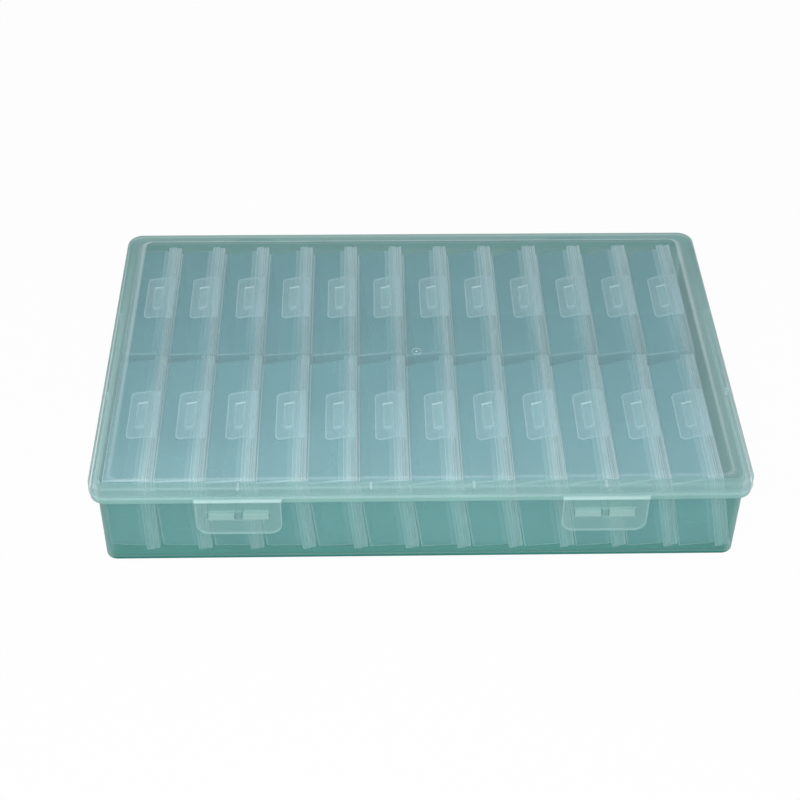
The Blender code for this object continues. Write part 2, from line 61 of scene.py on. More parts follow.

# How bright the painted highlights and how milky the edges, rims, lips and mouths of small cases are
TRAY_EDGE_GLOWS = (0.3, 1)
TRAY_EDGE_MILKY = 0.4
CASE_RIM_GLOWS = (0.5, 0.9)
CASE_LID_GLOWS = (0.6, 0.9)
CREASE_GLOW = 0.9
LIP_GLOWS = (0.2, 0.4, 0.8)
MOUTH_GLOW = 0.3
TRAY_MOUTH_MILKY = 0.6
LID_MOUTH_MILKY = 0.5

# Latch tab of a small case, its window and the tray's lug in it; the glows are painted highlights on their
# rims
TAB_LENGTH = 0.0365
TAB_REACH = 0.016
TAB_THICK = 0.0009
TAB_CORNER_NEAR = 0.0036
TAB_CORNER_FAR = 0.0022
TAB_ROOT_CORNER = 0.0004
TAB_EDGE = 0.00035
TAB_WINDOW_LENGTH = 0.0184
TAB_WINDOW_SHIFT = 0.0006
TAB_WINDOW_GLOW = 0.55
TAB_GLOW = 0.65
TAB_WINDOW_WIDTH = 0.0046
TAB_WINDOW_IN = 0.0046
TAB_WINDOW_CORNER = 0.0005
TAB_LUG_PLAY = 0.0005
TAB_LUG_SIDE_PLAY = 0.00015
TAB_LUG_SINK = 0.0002
TAB_DROOP = 0.0012
TAB_BAR_REACH = 0.0005
TAB_BAR_WIDTH = 0.0009
TAB_BAR_RISE = 0.0001
TAB_BAR_GLOWS = (0.6, 1)
TAB_BAR_MILKY = 0.6
TAB_LUG_GLOWS = (0.2, 0.9)
TAB_LUG_MILKY = 0.7
TAB_ROOT_GLOWS = (0, 0.2)
TAB_ROOT_MILKY = 0.8

# Hinge feet under a small case, with painted highlights on their rims
FOOT_SPREAD = 0.032
FOOT_LENGTH = 0.006
FOOT_DROP = 0.0008
FOOT_INSET = 0.0003
FOOT_GAP = 0.0006
FOOT_ROOT = 0.0008
FOOT_GLOWS = (0.5, 1)

# Rows of cases and the room round them
CASES_PER_ROW = 12
LEAN_FIRST = radians(0.5)
NEAR_LEAN_LAST = radians(11)
FAR_LEAN_LAST = radians(9)
LEAN_EASE = 1.6
CASE_GAP_FIRST = 0.0003
NEAR_GAP_LAST = 0.00095
FAR_GAP_LAST = 0.0012
STAND_GAP = 0.0003
ROW_GAP = 0.0005
ROW_DRIFT = 0.0024
FRONT_PLAY = 0.0003
BACK_PLAY = 0.0003
LEFT_PLAY = 0.0003
RIGHT_PLAY = 0.0009
TOP_PLAY = 0.0009

# Where the two rows meet, behind the middle, how far that shows, how faint the painted edge highlights get
# there, and how milky and pale it gets there, painted light on the shade between the rows
MEETING_BEHIND = 0.0008
MEETING_REACH = 0.005
MEETING_CLEAR = 0.8
MEETING_PAINTED_LIGHT = 0.6

# How much milkier, and so paler, a tray gets towards the box's front
TRAY_FRONT = 0.7

# Box base; its glows are painted highlights along the flange's edges and the rim
BODY_WALL = 0.0014
FLOOR_THICK = 0.0019
BODY_TAPER = 0.0004
BODY_CORNER = 0.005
BODY_EDGE = 0.0035
SIDE_INSET = 0.004
FRONT_INSET = 0.0055
FLANGE_INSET = 0.0007
FLANGE_THICK = 0.003
SEAT_GAP = 0.0003
RIM_GAP = 0.0006
FLANGE_EDGE = 0.0004
FLANGE_TOP_GLOWS = (0.5, 0.7)
FLANGE_LOW_GLOWS = (0.4, 0.5)
FLANGE_MILKY = 0.3
BASE_RIM_GLOW = 0.15

# Box lid; its glows are painted highlights along the bead, skirt, panel step and line, ribs and gate mark
LID_WALL = 0.0015
LID_CORNER = 0.009
LID_EDGE = 0.0018
SKIRT_HEIGHT = 0.0073
BEAD_HEIGHT = 0.0011
BEAD_REACH = 0.0003
BEAD_GLOW = 0.25
SKIRT_GLOW = 0.15
BORDER_MILKY = 0.8
BORDER_SIDE = 0.0086
PANEL_SIDE_SPREAD = 2.2
BORDER_FRONT = 0.0057
BORDER_BACK = 0.0085
PANEL_CORNER = 0.0045
PANEL_RISE = 0.001
PANEL_STEP = 0.0008
PANEL_LINE = 0.0004
PANEL_EDGE_MILKY = 0.5
PANEL_STEP_GLOW = 0.8
PANEL_LINE_GLOW = 0.5
PANEL_LINE_MILKY = 0.2
RIB_THICK = 0.0011
RIB_DROP = 0.0042
RIB_ROOT = 0.0016
RIB_NARROWED = 0.0004
RIB_PLAY = 0.0004
RIB_OFFSETS = (0.0255, 0.0912)
SIDE_RIB_OFFSET = 0.034
RIB_ROOT_GLOW = 0.8
RIB_FOOT_GLOW = 0.3
GATE_RADIUS = 0.0027
GATE_BAND = 0.0005
GATE_DOT = 0.0006
GATE_DEPTH = 0.0003
GATE_GLOW = 0.4
GATE_PLACE = (0, -0.0045)

# Rear hinge of the box; its glows are painted highlights on the knuckles, pins and webs
HINGE_OFFSET = 0.0914
KNUCKLE_LENGTH = 0.020
KNUCKLE_WALL = 0.0012
KNUCKLE_GAP = 0.0004
PIN_RADIUS = 0.0012
LUG_RADIUS = 0.0024
LUG_WIDTH = 0.004
LUG_DROP = 0.005
WEB_RISE = 0.0042
HINGE_GLOW = 0.5
PIN_GLOW = 0.6
WEB_GLOW = 0.4

# Front latches of the box; their glows are painted highlights on the plates' rims, windows, bridges, bars and
# catches
LATCH_OFFSET = 0.0914
LATCH_WIDTH = 0.0428
LATCH_DROP = 0.0223
LATCH_THICK = 0.0013
LATCH_CORNER = 0.0065
LATCH_ROOT_CORNER = 0.0006
LATCH_EDGE = 0.0004
LATCH_GAP = 0.0003
BAR_RADIUS = 0.00105
BAR_OVERHANG = 0.0003
BAR_RISE = 0.0001
WINDOW_WIDTH = 0.0138
WINDOW_HEIGHT = 0.0052
WINDOW_DROP = 0.0072
WINDOW_BRIDGE = 0.0033
WINDOW_CORNER = 0.0006
LATCH_GLOW = 0.6
LATCH_WINDOW_GLOW = 0.25
LATCH_BRIDGE_GLOWS = (0, 0.2)
LATCH_MILKY = 0.6
BAR_GLOW = 0.7
CATCH_PLAY = 0.0004
CATCH_RAMP = 0.0014
CATCH_SHOWN = 0.0024
CATCH_GLOW = 0.7

# Shared by pieces that are moulded together
OVERLAP = 0.0008

# Points on rounded shapes
BOX_CORNER_STEPS = 14
CASE_CORNER_STEPS = 8
SMALL_CORNER_STEPS = 4
EDGE_STEPS = 5
ROUND_STEPS = 28

# How wide a pale edge and its painted highlight fade, how bright the painted highlight on a plain rim is, and
# the share that counts as faint
RIM_FADE = 0.0005
RIM_GLOW = 0.6
FAINT = 0.1

# Painted highlight lines along the corners of a small case: how bright and thin they are, and how bright and
# high at its bottom
CORNER_GLOW = 0.7
CORNER_SHARPNESS = 3
LOW_GLOW = 1.0
LOW_LINE_LIFT = 0.55

# The least corner of a shrunken outline, and the least angle between faces that shows as an edge
SHARPEST = 0.1
SHARP_ANGLE = radians(35)

# Flow clouds and ripples of the plastic
CLOUD_SCALE = 24
CLOUD_DETAIL = 2
CLOUD_DEPTH = 0.22
COLOUR_DEPTH = 0.10
RIPPLE_SCALE = 90
RIPPLE_DETAIL = 1
RIPPLE_STRENGTH = 0.25
RIPPLE_HEIGHT = 0.00008
MATT_DEPTH = 0.12

# How milky the base's back and sides are, how much painted light brightens its sides, and how soon the back's
# milkiness sets in
BASE_BACK = 0.8
BASE_SIDE = 0.2
BASE_SIDE_PAINTED_LIGHT = 0.65
BASE_SIDE_RISE = 2.5

# How milky the lid's front and back are, its milkier back a painted shade that darkens it, how bright its
# painted highlight lines are at the front, and how much its border clears there
LID_FRONT = 0.25
LID_BACK = 1.0
LID_LINE_FRONT = 0.75
BORDER_CLEARS = 5

# Light in plastic: least slant, refraction, share of haze in shadows, and most layers seen through
LEAST_SLANT = 0.12
PLASTIC_IOR = 1.4
SHADE_SHARE = 0.28
CLEAR_LAYERS = 64

# Colours and hazes of each plastic's walls, thick parts and edges, the edges' colour being their painted
# highlight, and how matt, shiny and translucent it is
PLASTICS = {
    "base_plastic": (
        ((0.16, 0.38, 0.345), (0.03, 0.21, 0.185), (0.42, 0.59, 0.58)), (0.22, 0.8, 0.6), (0.3, 0.1, 0.15),
    ),
    "lid_plastic": (
        ((0.36, 0.51, 0.52), (0.14, 0.34, 0.32), (0.60, 0.76, 0.76)), (0.12, 0.45, 0.35), (0.26, 0.5, 0.15),
    ),
    "latch_plastic": (
        ((0.24, 0.42, 0.41), (0.24, 0.42, 0.41), (0.52, 0.70, 0.69)), (0.25, 0.25, 0.5), (0.28, 0.5, 0.15),
    ),
    "tray_plastic": (
        ((0.095, 0.32, 0.37), (0.30, 0.50, 0.54), (0.66, 0.82, 0.85)), (0.3, 0.4, 0.6), (0.3, 0.3, 0.15),
    ),
    "case_lid_plastic": (
        ((0.36, 0.53, 0.58), (0.42, 0.57, 0.61), (0.68, 0.83, 0.87)), (0.13, 0.26, 0.45), (0.3, 0.4, 0.15),
    ),
}

# Inputs that a plastic gives its own colours, hazes and matt share
COLOUR_NAMES = ("Body Colour", "Thick Colour", "Highlight Colour")
VALUE_NAMES = ("Clear Haze", "Thick Haze", "Edge Haze", "Matt")

# Place, target, size and power of each lamp
LAMPS = {
    "key_lamp": ((-0.1, -0.5, 0.62), (0, -0.05, 0), 0.5, 6.5),
    "front_lamp": ((0.8, -0.9, 0.45), (0, 0, 0), 0.7, 3.7),
}

# Floor and world
FLOOR_SIZE = 6.0
FLOOR_DROP = -0.0003
FLOOR_TONE = 0.5
FLOOR_LIFT = 0.975
WORLD_LIGHT = 0.36

# Camera
FOCAL_LENGTH = 76.5
SENSOR_WIDTH = 36
CAMERA_OVER_LID = (-0.029409, -0.717200, 0.576232)
CAMERA_TURN = radians(-1.66527754)
CAMERA_TILT = radians(40.50288115)
CAMERA_ROLL = radians(0.63037708)

# Sizes that follow from the small case
END_EXTRA = RIM_END_REACH - RIM_REACH
TRAY_RIM_FACE = TRAY_DEPTH + TRAY_RIM_THICK
CASE_LID_BACK = TRAY_RIM_FACE + CASE_SEAM
CASE_THICK = CASE_LID_BACK + CASE_LID_DEPTH
TAB_UNDER = CASE_HEIGHT + CASE_SEAM
TAB_TOP = TAB_UNDER + TAB_THICK
TRAY_FACE_LOW = RIM_REACH + TRAY_TAPER
TRAY_FACE_HIGH = CASE_HEIGHT - TRAY_FACE_LOW


def row_share(place):
    """How far along its row a case stands, from 0 to 1."""
    return place / max(CASES_PER_ROW - 1, 1)


def lean_of(place, lean_last):
    """Lean of the case at this place in its row: it grows fast at first and then levels off."""
    grown = (1 - exp(-LEAN_EASE * row_share(place))) / (1 - exp(-LEAN_EASE))
    return LEAN_FIRST + (lean_last - LEAN_FIRST) * grown


def standing_height(lean):
    """Height of a case's own origin when its lowest corner, tray face or hinge foot, stands on the floor."""
    face_corner = TRAY_FACE_LOW * cos(lean)
    foot_corner = (TRAY_DEPTH + FOOT_INSET) * sin(lean) - FOOT_DROP * cos(lean)
    return FLOOR_THICK + STAND_GAP - min(face_corner, foot_corner)


def row_places(lean_last, gap_last):
    """(x, z, lean) of each case in a row, from its left end, where each one leans on the one before."""
    lean = lean_of(0, lean_last)
    x = TRAY_FACE_HIGH * sin(lean)
    z = standing_height(lean)
    places = [(x, z, lean)]
    for place in range(1, CASES_PER_ROW):
        before, x_before, z_before = lean, x, z
        lean = lean_of(place, lean_last)
        z = standing_height(lean)
        rise = z + TRAY_FACE_HIGH * cos(lean) - z_before
        gap = CASE_GAP_FIRST + (gap_last - CASE_GAP_FIRST) * row_share(place)
        step = (CASE_THICK + gap - rise * sin(before)) / cos(before)
        x = x_before + TRAY_FACE_HIGH * sin(lean) + step
        places.append((x, z, lean))
    return places


NEAR_PLACES = row_places(NEAR_LEAN_LAST, NEAR_GAP_LAST)
FAR_PLACES = row_places(FAR_LEAN_LAST, FAR_GAP_LAST)
ALL_PLACES = NEAR_PLACES + FAR_PLACES
ROW_LENGTH = max(x + CASE_THICK * cos(lean) for x, z, lean in ALL_PLACES)
HIGHEST_TAB = max(z + CASE_THICK * sin(lean) + TAB_TOP * cos(lean) for x, z, lean in ALL_PLACES)

# Sizes of the box that follow from its rows of cases
INNER_WIDTH = ROW_LENGTH + LEFT_PLAY + RIGHT_PLAY
INNER_DEPTH = 2 * CASE_LENGTH + FRONT_PLAY + ROW_DRIFT + ROW_GAP + BACK_PLAY
BODY_WIDTH = INNER_WIDTH + 2 * (BODY_TAPER + BODY_WALL)
BODY_DEPTH = INNER_DEPTH + 2 * (BODY_TAPER + BODY_WALL)
LID_WIDTH = BODY_WIDTH + 2 * SIDE_INSET
LID_DEPTH = BODY_DEPTH + 2 * FRONT_INSET
BORDER_TOP = HIGHEST_TAB + TOP_PLAY + LID_WALL - PANEL_RISE
SKIRT_BOTTOM = BORDER_TOP - SKIRT_HEIGHT
FLANGE_TOP = SKIRT_BOTTOM - SEAT_GAP
FLANGE_BOTTOM = FLANGE_TOP - FLANGE_THICK
RIM_TOP = BORDER_TOP - LID_WALL - RIM_GAP
LID_HALF_DEPTH = LID_DEPTH / 2
PANEL_WIDTH = LID_WIDTH - 2 * BORDER_SIDE
PANEL_DEPTH = LID_DEPTH - BORDER_FRONT - BORDER_BACK
PANEL_MIDDLE = (BORDER_FRONT - BORDER_BACK) / 2
BODY_HALF_DEPTH = BODY_DEPTH / 2

# Places of the hinge axes in the box's own frame
BORE_RADIUS = PIN_RADIUS + KNUCKLE_GAP
KNUCKLE_RADIUS = BORE_RADIUS + KNUCKLE_WALL
HINGE_Y = LID_HALF_DEPTH - FLANGE_INSET + KNUCKLE_GAP + KNUCKLE_RADIUS
HINGE_Z = FLANGE_TOP - LUG_RADIUS
LATCH_Y = -LID_HALF_DEPTH - LATCH_GAP - BAR_RADIUS
LATCH_Z = SKIRT_BOTTOM + BAR_RISE
BACK_REACH = HINGE_Y + KNUCKLE_RADIUS
FRONT_REACH = BAR_RADIUS - LATCH_Y
MIDDLE_SHIFT = (FRONT_REACH - BACK_REACH) / 2


# Surfaces


def rounded_loop(length, breadth, radii, steps):
    """Points round a rectangle whose corners are quarter circles, counter-clockwise from the first corner."""
    radii = np.broadcast_to(radii, 4)
    turn = np.linspace(0, pi / 2, steps + 1)
    sides = np.array(((1, 1), (-1, 1), (-1, -1), (1, -1)))
    centres = sides * (np.array((length, breadth)) / 2 - radii[:, None])
    angles = turn[None, :] + np.arange(4)[:, None] * pi / 2
    round_part = np.stack((np.cos(angles), np.sin(angles)), axis=-1) * radii[:, None, None]
    return (centres[:, None, :] + round_part).reshape(-1, 2)


def inset_loop(length, breadth, radii, inset, steps):
    """A rounded loop drawn in by an inset on every side, its corners too."""
    corners = np.maximum(radii - inset, radii * SHARPEST)
    return rounded_loop(length - 2 * inset, breadth - 2 * inset, corners, steps)


def corner_glow(steps):
    """How bright the painted highlight is at each point of an upright loop: a thin line, a half sine to a
    power, at each corner.

    Along the two lower corners, the third and fourth, the line lies further up.
    """
    along = np.linspace(0, 1, steps + 1)
    level, raised = (np.sin(pi * share) ** CORNER_SHARPNESS for share in (along, along ** LOW_LINE_LIFT))
    high, low = level * CORNER_GLOW, raised * LOW_GLOW
    return np.concatenate((high, high, low, low[::-1]))


def circle_loop(radius, steps):
    """Points round a circle."""
    angles = np.arange(steps) * 2 * pi / steps
    return radius * np.stack((np.cos(angles), np.sin(angles)), axis=-1)


def level_ring(loop, z):
    """A loop laid level at a height."""
    return np.column_stack((loop, np.full(len(loop), z)))


def side_ring(loop, x):
    """A loop set upright across X."""
    return np.column_stack((np.full(len(loop), x), loop))


def front_ring(loop, y):
    """A loop set upright across Y."""
    return np.column_stack((loop[:, 0], np.full(len(loop), y), loop[:, 1]))


def bend(centre, radius, start, end, steps, edge_shares):
    """(a, b, edge) along an arc, where edge, the share of painted highlight, swells as a half sine from one
    share to another at mid-arc.
    """
    along = np.linspace(0, 1, steps + 1)
    turn = (start + (end - start) * along) * pi / 2
    edge = edge_shares[0] + (edge_shares[1] - edge_shares[0]) * np.sin(pi * along)
    return list(zip(centre[0] + radius * np.cos(turn), centre[1] + radius * np.sin(turn), edge))


def enclosed(points, faces):
    """Six times the volume inside a closed surface: the sum of the triple products of its triangles."""
    corners = [(face[0], face[i], face[i + 1]) for face in faces for i in range(1, len(face) - 1)]
    a, b, c = (points[column] for column in np.array(corners).T)
    return float(np.sum(np.cross(a, b) * c))


def spread(share, rows, around):
    """A share for every point, from one for all, one for each ring or one for each point."""
    share = np.asarray(share, float)
    return np.broadcast_to(share.reshape(len(share), -1) if share.ndim else share, (rows, around))


def skin(rings, edge, thick, capped=True):
    """A surface through a stack of rings, where four neighbouring points of two rings make a face.

    The first and last rings are closed by flat faces, or joined to each other where the stack is a loop.
    edge says how bright its painted highlight is and thick how milky the plastic is, for all, for each ring
    or for each point.
    """
    grid = np.stack(rings)
    rows, around = grid.shape[:2]
    index = np.arange(rows * around).reshape(rows, around)
    low, high = (index[:-1], index[1:]) if capped else (index, np.roll(index, -1, axis=0))
    quads = np.stack((low, np.roll(low, -1, axis=1), np.roll(high, -1, axis=1), high), axis=-1)
    faces = quads.reshape(-1, 4).tolist()
    if capped:
        faces.append(index[0, ::-1].tolist())
        faces.append(index[-1].tolist())
    points = grid.reshape(-1, 3)
    values = np.column_stack([spread(share, rows, around).reshape(-1) for share in (edge, thick)])
    if enclosed(points, faces) < 0:
        faces = [face[::-1] for face in faces]
    return points, faces, values


def joined(parts):
    """Several surfaces as one."""
    points, faces, values, start = [], [], [], 0
    for part_points, part_faces, part_values in parts:
        points.append(part_points)
        faces.extend([start + i for i in face] for face in part_faces)
        values.append(part_values)
        start += len(part_points)
    return np.concatenate(points), faces, np.concatenate(values)


def block(low, high, radius, edge, thick):
    """A block with round upright corners and round rims, from a stack of level rings."""
    low, high = np.array(low, float), np.array(high, float)
    size = high - low
    rows = bend((low[2] + radius, radius), radius, 2, 3, SMALL_CORNER_STEPS, edge)
    rows += bend((high[2] - radius, radius), radius, 3, 4, SMALL_CORNER_STEPS, edge)
    rings = []
    for z, inset, _ in rows:
        loop = inset_loop(size[0], size[1], radius, inset, SMALL_CORNER_STEPS)
        rings.append(level_ring(loop + (low + high)[:2] / 2, z))
    return skin(rings, [row[2] for row in rows], thick)


def bar(loop, start, end, edge, thick):
    """A profile carried straight along X from start to end."""
    return skin((side_ring(loop, start), side_ring(loop, end)), edge, thick)


def tube(outer, inner, lay, start, end, edge, thick):
    """A straight tube between two loops, where lay sets a loop at a place."""
    places = ((outer, start), (outer, end), (inner, end), (inner, start))
    return skin([lay(loop, place) for loop, place in places], edge, thick, capped=False)


def window_plate(outer, window, heights, radius, lay, glows, thick):
    """A plate with one window, both with round rims: a profile carried round from its outside to the window.

    outer and window give the loop at an inset, heights are the plate's two faces, and lay sets a loop at a
    height. glows says how bright the rims of the plate and of the window are.
    """
    low, high = heights
    rings, edge = [], []
    for shape, sense, glow in ((outer, 1, glows[0]), (window, -1, glows[1])):
        rows = bend((low + radius, radius), radius, 2, 3, SMALL_CORNER_STEPS, (RIM_GLOW, 1))
        rows += bend((high - radius, radius), radius, 3, 4, SMALL_CORNER_STEPS, (RIM_GLOW, 1))
        rows = [(low, radius + RIM_FADE, 0), *rows, (high, radius + RIM_FADE, 0)]
        for height, inset, rim in rows[::sense]:
            rings.append(lay(shape(sense * inset), height))
            edge.append(rim * glow)
    return skin(rings, edge, thick, capped=False)


# Small cases


def case_skin(outer_rows, inner_rows):
    """A surface through rings round a case, each from (x, inset, corners, edge, thick), with painted
    highlight lines along its corners.

    corners are the radii of the top and bottom corners. Rings set in by the rim's reach or more are set in
    further at the case's two ends.
    """
    rings = []
    rows = outer_rows + inner_rows
    for x, inset, corners, _, _ in rows:
        end_inset = inset + END_EXTRA * (inset >= RIM_REACH)
        radii = np.repeat(corners, 2)
        loop = rounded_loop(CASE_LENGTH - 2 * end_inset, CASE_HEIGHT - 2 * inset, radii, CASE_CORNER_STEPS)
        rings.append(side_ring(loop + (0, CASE_HEIGHT / 2), x))
    edge = np.array([row[3] for row in rows])
    shown = np.arange(len(rows)) < len(outer_rows)
    line = np.outer(shown, corner_glow(CASE_CORNER_STEPS))
    return skin(rings, np.maximum(edge[:, None], line), [row[4] for row in rows])


def tray_profile():
    """From the tray's face, round its edge and along the wall to the rim, then back down inside it."""
    corner = (TRAY_TOP_CORNER, TRAY_CORNER)
    rim_corner = (CASE_TOP_CORNER, CASE_CORNER)
    inner = (TRAY_TOP_CORNER * SHARPEST, TRAY_CORNER - CASE_WALL)
    face = TRAY_FACE_LOW
    rows = [(0, face + TRAY_EDGE + RIM_FADE, corner, 0, 0)]
    for x, inset, edge in bend((TRAY_EDGE, face + TRAY_EDGE), TRAY_EDGE, 2, 3, EDGE_STEPS, TRAY_EDGE_GLOWS):
        rows.append((x, inset, corner, edge, TRAY_EDGE_MILKY))
    rows += [
        (TRAY_EDGE + RIM_FADE, face - RIM_FADE * TRAY_TAPER / TRAY_DEPTH, corner, 0, 0),
        (TRAY_DEPTH - SOFT_BAND, RIM_REACH, corner, 0, 0),
        (TRAY_DEPTH - SOFT_BAND + RIM_FADE, RIM_REACH, corner, SOFT_GLOW, SOFT_MILKY),
        (TRAY_DEPTH, RIM_REACH, corner, SOFT_GLOW, SOFT_MILKY),
    ]
    back = (TRAY_DEPTH + RIM_EDGE, RIM_EDGE)
    front = (TRAY_RIM_FACE + RIM_FILL - RIM_EDGE, RIM_EDGE)
    for x, inset, edge in bend(back, RIM_EDGE, 2, 3, SMALL_CORNER_STEPS, CASE_RIM_GLOWS):
        rows.append((x, inset, rim_corner, edge, 1))
    rows.append((TRAY_DEPTH + TRAY_RIM_THICK / 2, 0, rim_corner, FAINT, 1))
    for x, inset, edge in bend(front, RIM_EDGE, 3, 4, SMALL_CORNER_STEPS, CASE_RIM_GLOWS):
        rows.append((x, inset, rim_corner, edge, 1))
    inside = [
        (TRAY_RIM_FACE + RIM_FILL, RIM_REACH + CASE_WALL, inner, MOUTH_GLOW, TRAY_MOUTH_MILKY),
        (TRAY_RIM_FACE - RIM_FADE, RIM_REACH + CASE_WALL, inner, 0, FAINT),
        (CASE_WALL + TRAY_EDGE / 2, face + CASE_WALL, inner, 0, 0),
        (CASE_WALL, face + CASE_WALL + TRAY_EDGE / 2, inner, FAINT, 0),
        (CASE_WALL, face + CASE_WALL + TRAY_EDGE, inner, 0, 0),
    ]
    return rows, inside


def case_lid_profile():
    """From the lid's face, round its edge and down the stepped side to the lip, then back up inside it."""
    corner = (CASE_TOP_CORNER, CASE_CORNER)
    inner = (CASE_TOP_CORNER * SHARPEST, CASE_CORNER - CASE_WALL)
    step_x = CASE_LID_BACK + LID_LIP
    groove_x = (step_x + CASE_THICK - CASE_LID_EDGE) / 2
    side = LID_STEP
    rows = [(CASE_THICK, side + CASE_LID_EDGE + PAINTED_LIGHT_BAND, corner, 0, 0)]
    centre = (CASE_THICK - CASE_LID_EDGE, side + CASE_LID_EDGE)
    for x, inset, edge in bend(centre, CASE_LID_EDGE, 4, 3, EDGE_STEPS, CASE_LID_GLOWS):
        rows.append((x, inset, corner, edge, 1))
    rows += [
        (groove_x + LID_GROOVE, side, corner, FAINT, 1),
        (groove_x, side + LID_GROOVE, corner, CREASE_GLOW, 1),
        (groove_x - LID_GROOVE, side, corner, FAINT, 1),
        (step_x + LID_GROOVE, side, corner, FAINT, 1),
        (step_x, side, corner, CREASE_GLOW, 1),
        (step_x, RIM_EDGE / 2, corner, CREASE_GLOW, 1),
        (step_x - RIM_EDGE, 0, corner, LIP_GLOWS[0], 1),
        (CASE_LID_BACK + RIM_EDGE, 0, corner, LIP_GLOWS[1], 1),
        (CASE_LID_BACK, RIM_EDGE, corner, LIP_GLOWS[2], 1),
    ]
    inside = [
        (CASE_LID_BACK, CASE_WALL, inner, MOUTH_GLOW, LID_MOUTH_MILKY),
        (CASE_THICK - CASE_WALL, CASE_WALL + side, inner, 0, 0),
        (CASE_THICK - CASE_WALL, CASE_WALL + side + CASE_LID_EDGE, inner, 0, 0),
    ]
    return rows, inside


def window_ends():
    """Where the tab's window begins and ends across the case's thickness."""
    start = CASE_THICK - TAB_REACH + TAB_WINDOW_IN
    return start, start + TAB_WINDOW_WIDTH


def creased(loop, x):
    """A rounded loop with one more point on each of its two long edges, at x, where the plate can bend."""
    steps = len(loop) // 4
    far, near = loop[steps - 1], loop[3 * steps]
    return np.insert(loop, (steps, 3 * steps), ((x, far[1]), (x, near[1])), axis=0)


def drooped(part):
    """The tab or its lug, lowered evenly from the tray's rim to the tab's free edge."""
    points, faces, values = part
    free = CASE_THICK - TAB_REACH
    drop = TAB_DROOP * np.clip((TRAY_DEPTH - points[:, 0]) / (TRAY_DEPTH - free), 0, 1)
    return points - drop[:, None] * (0, 0, 1), faces, values


def tab_plate():
    """The latch tab: a plate with one window, lying over the tray from the lid's edge."""
    start, end = window_ends()
    free, root = CASE_THICK - TAB_REACH, CASE_THICK - CASE_SEAM
    radii = np.array((TAB_ROOT_CORNER, TAB_CORNER_FAR, TAB_CORNER_NEAR, TAB_ROOT_CORNER))

    def outer(inset):
        loop = inset_loop(root - free, TAB_LENGTH, radii, inset, SMALL_CORNER_STEPS)
        return creased(loop + ((free + root) / 2, 0), TRAY_DEPTH)

    def window(inset):
        loop = inset_loop(end - start, TAB_WINDOW_LENGTH, TAB_WINDOW_CORNER, inset, SMALL_CORNER_STEPS)
        return creased(loop + ((start + end) / 2, -TAB_WINDOW_SHIFT), (start + end) / 2)

    glows = (TAB_GLOW, TAB_WINDOW_GLOW)
    points, faces, values = window_plate(outer, window, (TAB_UNDER, TAB_TOP), TAB_EDGE, level_ring, glows, 0)
    free_share = np.clip((CASE_LID_BACK - points[:, 0]) / (CASE_LID_BACK - end), 0, 1)
    return drooped((points, faces, values * np.column_stack((free_share, np.ones(len(points))))))


def window_bar():
    """The small raised bar at the far end of the tab's window."""
    start, end = window_ends()
    far = TAB_WINDOW_LENGTH / 2 - TAB_WINDOW_SHIFT
    low = (start - TAB_BAR_REACH, far, TAB_UNDER + RIM_EDGE)
    high = (end + TAB_BAR_REACH, far + TAB_BAR_WIDTH, TAB_TOP + TAB_BAR_RISE)
    return drooped(block(low, high, RIM_EDGE / 2, TAB_BAR_GLOWS, TAB_BAR_MILKY))


def feet(spread, x_low, x_high):
    """A pair of hinge feet under the case."""
    parts = []
    for side in (-1, 1):
        ends = sorted((side * spread, side * (spread + FOOT_LENGTH)))
        low = (x_low, ends[0], -FOOT_DROP)
        high = (x_high, ends[1], FOOT_ROOT)
        parts.append(block(low, high, RIM_EDGE, FOOT_GLOWS, 1))
    return parts


def tray_parts():
    """A tray with the lug for the tab's window and its hinge feet."""
    start, end = window_ends()
    length = TAB_WINDOW_LENGTH - 2 * TAB_LUG_PLAY
    far = length / 2 - TAB_WINDOW_SHIFT
    low = (start + TAB_LUG_SIDE_PLAY, far - length, CASE_HEIGHT - TRAY_FACE_LOW)
    high = (end - TAB_LUG_SIDE_PLAY, far, TAB_TOP - TAB_LUG_SINK)
    parts = [case_skin(*tray_profile()), drooped(block(low, high, RIM_EDGE, TAB_LUG_GLOWS, TAB_LUG_MILKY))]
    parts += feet(FOOT_SPREAD, TRAY_DEPTH + FOOT_INSET, TRAY_RIM_FACE - FOOT_INSET)
    return parts


def case_lid_parts():
    """A case's lid with its latch tab and hinge feet."""
    root_low = (CASE_LID_BACK + CASE_SEAM, TAB_EDGE - TAB_LENGTH / 2, CASE_HEIGHT - LID_STEP * 2)
    root_high = (CASE_THICK - CASE_SEAM * 2, TAB_LENGTH / 2 - TAB_EDGE, TAB_UNDER + TAB_EDGE)
    parts = [case_skin(*case_lid_profile()), tab_plate(), window_bar()]
    parts.append(block(root_low, root_high, RIM_EDGE / 2, TAB_ROOT_GLOWS, TAB_ROOT_MILKY))
    spread = FOOT_SPREAD - FOOT_LENGTH - FOOT_GAP
    parts += feet(spread, CASE_LID_BACK + FOOT_INSET, CASE_THICK - CASE_LID_EDGE - FOOT_INSET)
    return parts


def swollen(part, gap):
    """A case lid whose face comes closer to the next case by a share of the gap between them."""
    points, faces, values = part
    start = CASE_THICK - CASE_LID_EDGE * 2
    along = np.clip((points[:, 0] - start) / CASE_LID_EDGE, 0, 1)
    return points + gap * SWELL_SHARE * along[:, None] * (1, 0, 0), faces, values


def stood(part, x, y, z, lean):
    """A case's surface turned by its lean and set in its place."""
    points, faces, values = part
    turn = np.array(Matrix.Rotation(-lean, 3, "Y"))
    return points @ turn.T + np.array((x, y, z)), faces, values


def far_share(points):
    """How far back each point of a grid lies in the box, from 0 at the front to 1 at the back."""
    return np.clip(((points[..., 1] - MIDDLE_SHIFT) / BODY_HALF_DEPTH + 1) / 2, 0, 1)


